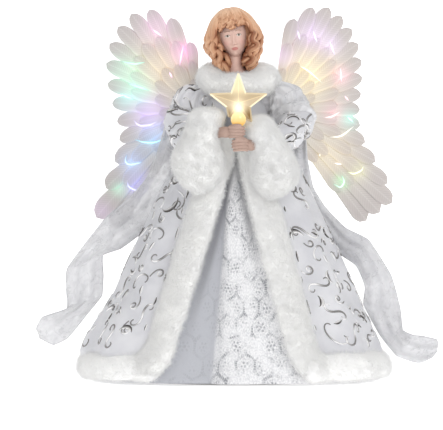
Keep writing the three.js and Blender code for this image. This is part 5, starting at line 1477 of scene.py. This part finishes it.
fibreRuns = dict(  # bright runs of the strands: colour, then x and z of their points
    right=[
        ((0.35, 0.85, 1.0), [(-81, 194), (-73, 192), (-64, 192), (-54, 196)]),
        ((0.45, 0.70, 1.0), [(-88, 182), (-89, 177), (-86, 174), (-78, 175), (-75, 176)]),
        ((0.55, 0.58, 1.0), [(-87, 160), (-86, 156), (-80, 153), (-73, 155)]),
        ((0.72, 0.66, 1.0), [(-82, 210), (-78, 206), (-69, 206), (-62, 209)]),
        ((0.40, 1.0, 0.75), [(-92, 258), (-82, 256), (-73, 257)]),
        ((0.40, 1.0, 0.75), [(-87, 240), (-78, 237), (-69, 234)]),
        ((1.0, 0.60, 0.90), [(-41.5, 272), (-43, 262), (-44, 254)]),
        ((1.0, 0.66, 0.90), [(-52.5, 249), (-50, 244)]),
        ((0.95, 0.72, 0.95), [(-67, 284), (-63, 281), (-59, 278)]),
        ((0.45, 0.95, 0.95), [(-93, 232), (-88, 229), (-82, 227)]),
        ((0.50, 0.85, 1.0), [(-64, 180), (-63, 179)]),
    ],
    left=[
        ((0.82, 0.76, 1.0), [(50, 283), (52, 275)]), ((0.82, 0.76, 1.0), [(62.5, 283), (66, 273)]),
        ((0.84, 0.78, 1.0), [(76, 275), (80.5, 263)]),
        ((1.0, 0.95, 0.72), [(51, 254), (58, 250), (70, 240)]),
        ((1.0, 0.72, 0.80), [(85, 253), (86, 241)]), ((1.0, 0.72, 0.80), [(88.5, 230), (92, 226)]),
        ((1.0, 0.80, 0.80), [(71.5, 212), (78, 213), (85, 217)]),
        ((0.55, 1.0, 0.90), [(90.5, 213), (93, 211), (96, 208)]),
        ((1.0, 0.98, 0.86), [(76, 196), (86, 197.5), (96, 205)]),
        ((0.92, 1.0, 0.66), [(90.5, 168), (96, 166.5), (102, 169), (104, 172.5)]),
        ((0.55, 1.0, 0.72), [(79.5, 158), (85, 155.5), (88, 160), (86, 165)]),
        ((1.0, 0.95, 0.80), [(67, 182), (68, 181)]), ((1.0, 0.92, 0.84), [(79.5, 175), (86, 174)]),
    ],
)
fibreLook = dict(
    points=24, sides=8, forward=5.4, sink=3.0, sinkAt=(0.42, 0.8), light=(0.35, 0.65), half=(0.25, 0.4),
)


def wingPoint(sign, out, rise, forward):  # from the hinge: out along the swept wing, up, forward
    sweep = np.radians(wingLook["sweep"])
    across = np.array([sign * np.cos(sweep), np.sin(sweep), 0])
    front = np.array([sign * np.sin(sweep), -np.cos(sweep), 0])
    hinge = np.array(wingLook["hinge"]) * np.array([sign, 1, 1])
    return hinge + out[..., None] * across + rise[..., None] * up + forward[..., None] * front


def featherReach(degrees, name):  # rises to the upper tips, falls to the waist, rises to the lower tips
    upper, waist, lower = wingLook["angles"][name][1:4]
    tall, mid, long = wingLook["upper"], wingLook["waist"][name], wingLook["lower"][name]
    top = tall * (1 - wingLook["droop"] * (np.maximum(0, upper - degrees) / upper) ** 2)
    down = np.clip((degrees - waist) / (lower - waist), 0, 1)
    side = mid + (tall - mid) * ramp(waist, upper, degrees) + (long - mid) * down ** wingLook["curve"]
    fall, over = wingLook["fall"]
    return np.where(degrees < upper, top, side) * (1 - fall * np.clip((degrees - lower) / over, 0, 1))


def featherAngles(name, count):  # equal steps along the wing's edge, where a rise counts for less
    fine = np.linspace(wingLook["angles"][name][0], wingLook["angles"][name][-1], 400)
    reach = featherReach(fine, name)
    along = np.radians(np.gradient(fine)) * reach
    edge = np.cumsum(np.hypot(along, wingLook["rises"] * np.gradient(reach)))
    return np.interp(np.linspace(edge[0], edge[-1], count), edge, fine)


def spotLight(name, places):  # sum of bells of coloured light about the spots
    light = np.zeros(places.shape)
    for x, z, size, shade in lightSpots[name]:
        near = np.exp(-((places[..., 0] - x) ** 2 + (places[..., 2] - z) ** 2) / size ** 2)
        light = light + near[..., None] * np.array(shade)
    return light


def makeFeathers(name, layer):  # blades with round tips, each leaning a little over the next
    sign = signs[name]
    order, reach, forward = wingLook["layers"][layer]
    count = wingLook["counts"][name][order]
    degrees = featherAngles(name, count)
    step = np.maximum(wingLook["leastStep"], np.radians(np.gradient(degrees)))[:, None, None]
    tall = (reach * featherReach(degrees, name))[:, None, None]
    s = np.linspace(0, 1, wingLook["along"])[None, :, None]
    v = np.linspace(-1, 1, wingLook["across"])[None, None, :]
    radius = wingLook["root"] + s * (tall - wingLook["root"])
    blunt = np.clip((radius - tall + wingLook["tip"]) / wingLook["tip"], 0, 1)
    low, high, more = wingLook["lowWide"]
    widest = wingLook["widest"] * (1 + more * ramp(low, high, degrees))[:, None, None]
    half = np.minimum(wingLook["overlap"] * step * radius, widest)
    half = half * np.maximum(wingLook["leastWide"], np.sqrt(1 - blunt ** 2))
    centre = np.radians(degrees)[:, None, None] + wingLook["bow"] * (s ** 2 - 1)
    out = wingLook["fanOut"] + radius * np.sin(centre) + v * half * np.cos(centre)
    rise = wingLook["fanRise"] + radius * np.cos(centre) - v * half * np.sin(centre)
    over, arch, tipward = wingLook["lean"]
    lean = forward + over * v + arch * (1 - v ** 2) + tipward * s
    thick = wingLook["thick"]
    outer, inner = [wingPoint(sign, out, rise, lean + more) for more in (thick, -thick)]
    surface = joined(*[faceOut(slab(outer[k], inner[k])) for k in range(count)])
    uv = np.stack([v * half, radius + 0 * v], -1).reshape(count, -1, 2)
    edge, tip = [np.tile(part.reshape(-1), 2 * count)[:, None] for part in (np.abs(v) + 0 * s, s + 0 * v)]
    border = ramp(*wingLook["border"], edge)
    paint = lerp(wingLook["rootTone"], wingLook["tipTone"][name], ramp(*wingLook["tipAt"], tip))
    paint = paint + wingLook["borderTone"] * border
    middle, more = wingLook["borderGlow"]
    glow = spotLight(name, surface[0]) * (middle + more * border)
    piece(name + layer.title() + "Feathers", surface, "film", [name + "_" + layer + "_feathers"],
          "feather_film", name + "_wing", np.tile(uv, (1, 2, 1)).reshape(-1, 2), glow=glow, paint=paint)


def makeFibres(name):  # strands lying on the feathers, bright in the middle of each run
    t = np.linspace(0, 1, fibreLook["points"])
    swell = np.sin(np.pi * t)
    dim, more = fibreLook["light"]
    paths, lights = [], []
    for shade, points in fibreRuns[name]:
        run = spline(points, t)
        out = (np.abs(run[:, 0]) - wingLook["hinge"][0]) / np.cos(np.radians(wingLook["sweep"]))
        rise = run[:, 1] - wingLook["hinge"][2]
        away, above = out - wingLook["fanOut"], rise - wingLook["fanRise"]
        share = np.hypot(away, above) / featherReach(np.degrees(np.arctan2(away, above)), name)
        forward = fibreLook["forward"] - fibreLook["sink"] * ramp(*fibreLook["sinkAt"], share)
        paths.append(wingPoint(signs[name], out, rise, forward))
        lights.append(np.array(shade)[None] * (dim + more * swell)[:, None])
    paths, lights = np.array(paths), np.array(lights)
    count = len(paths)
    least, more = fibreLook["half"]
    width = (least + more * swell)[None] * np.ones((count, 1))
    surface = tubes(paths, width, width, np.array([0.0, -1.0, 0.0]), fibreLook["sides"])
    ring = np.repeat(lights[:, :, None], fibreLook["sides"], 2).reshape(count, -1, 3)
    piece(name + "Fibres", surface, "glow", (), "fibre", name + "_wing",
          glow=np.concatenate([ring, lights[:, [0, -1]]], 1).reshape(-1, 3))


for name in signs:
    for layer in wingLook["layers"]:
        makeFeathers(name, layer)
    makeFibres(name)
print("stage: wings")


# CAD nodes that stay in sight

nodeLooks = dict(
    mould=[
        "body_cone", "inner_deck", "tree_socket", "battery_box", "battery_door", "power_switch",
        "light_housing", "wing_bracket", "right_wing_frame", "left_wing_frame", "star_stem",
    ],
    steel=[
        "door_pin", "lower_contact_strip", "upper_contact_strip", "box_screw_1", "box_screw_2",
        "bracket_screw_1", "bracket_screw_2", "right_fibre_ferrule", "left_fibre_ferrule",
        "right_wing_pin", "left_wing_pin", "right_arm", "left_arm",
    ],
    cell=["battery_cell_1", "battery_cell_2", "battery_cell_3"], board=["lamp_board"],
    lead=["power_lead", "star_lead"], fibre=["right_fibre_bundle", "left_fibre_bundle"],
    lamp=["right_fibre_lamp", "left_fibre_lamp"],
)
for look, nodes in nodeLooks.items():
    for node in nodes:
        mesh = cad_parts[node].data
        mesh.materials.clear()
        mesh.materials.append(looks[look])
print("stage: nodes in sight")


# stage, light and camera

stageLook = dict(
    reach=(-3.2, 1.6, 60), bendAt=0.4, bendRun=1.2, bend=0.9, top=2.6, side=2.6, columns=12,
    under=0.0002, glow=0.6, wallFrom=0.3, wallDim=0.85,
)


def sweepMaterial():  # clear from behind; to all but the eye, the wall glows less than the floor
    values = {"Base Color": (0.95, 0.95, 0.95), "Roughness": 0.7, "Specular IOR Level": 0.1,
              "Emission Color": (1.0, 1.0, 1.0)}
    pale, tree, sockets = newMaterial("paleSweep", values)
    wall = band(split(coordinate(tree, "Object"))[2], 0.0, stageLook["wallFrom"], 0.0, stageLook["wallDim"])
    unseen = calc("SUBTRACT", 1.0, add(tree, "ShaderNodeLightPath").outputs["Is Camera Ray"])
    glow = stageLook["glow"]
    feed(sockets["Emission Strength"], calc("MULTIPLY_ADD", times(wall, unseen), -glow, glow))
    front = tree.nodes["Principled BSDF"].outputs[0]
    back = add(tree, "ShaderNodeBsdfTransparent").outputs[0]
    facing = add(tree, "ShaderNodeNewGeometry").outputs["Backfacing"]
    mixed = filled(add(tree, "ShaderNodeMixShader"), facing, front, back)[0]
    feed(tree.nodes["Material Output"].inputs["Surface"], mixed)
    return pale


def makeStage():  # floor running up into a wall by a quarter circle
    reach = np.linspace(*stageLook["reach"])
    start, size = stageLook["bendAt"], stageLook["bend"]
    bend = np.clip((reach - start) / stageLook["bendRun"], 0, 1) * np.pi / 2
    y = np.where(reach < start, reach, start + size * np.sin(bend))
    z = np.where(reach < start, 0.0, size * (1 - np.cos(bend)))
    y, z = np.append(y, y[-1]), np.append(z, stageLook["top"])
    x = np.linspace(-stageLook["side"], stageLook["side"], stageLook["columns"])
    grid = np.stack(np.broadcast_arrays(x[None, :], y[:, None], z[:, None] - stageLook["under"]), -1)
    mesh = bpy.data.meshes.new("sweep")
    mesh.from_pydata(grid.reshape(-1, 3).tolist(), [], gridFaces(*grid.shape[:2])[:, ::-1].tolist())
    mesh.polygons.foreach_set("use_smooth", np.ones(len(mesh.polygons), bool))
    made = bpy.data.objects.new("sweep", mesh)
    bpy.context.scene.collection.objects.link(made)
    mesh.materials.append(sweepMaterial())


makeStage()

lights = [  # name, place, size, power
    ("key", (0.8, -1.3, 1.0), 0.9, 7.5),
    ("fill", (-1.0, -1.4, 0.7), 1.2, 3.15),
    ("top", (0.0, 0.1, 1.5), 1.2, 4.0),
]
lightAim = np.array([0.0, 0.0, 0.14])
for name, place, size, power in lights:
    lamp = bpy.data.lights.new(name, "AREA")
    lamp.size = size
    lamp.energy = power
    made = bpy.data.objects.new(name, lamp)
    bpy.context.scene.collection.objects.link(made)
    made.location = place
    x, y, z = lightAim - np.array(place)
    made.rotation_euler = (np.arctan2(np.hypot(x, y), -z), 0, np.arctan2(x, -y) + np.pi)

world = bpy.data.worlds.new("studio")
world.use_nodes = True
sky = world.node_tree.nodes["Background"].inputs
feed(sky["Color"], (1.0, 1.0, 1.0))
inView = add(world.node_tree, "ShaderNodeLightPath").outputs["Is Camera Ray"]
feed(sky["Strength"], calc("MULTIPLY_ADD", inView, 0.575, 0.445))  # white to look at, dimmer as a light
bpy.context.scene.world = world

lens = bpy.data.cameras.new("camera")
lens.sensor_width = 36.0
lens.lens = 304.8
camera = bpy.data.objects.new("camera", lens)
camera.location = (-0.0112, -3.0, 0.1328)
camera.rotation_euler = (np.pi / 2, 0, 0)
bpy.context.scene.collection.objects.link(camera)
bpy.context.scene.camera = camera
bpy.context.scene.view_settings.view_transform = "Standard"

print("stage: light and camera")
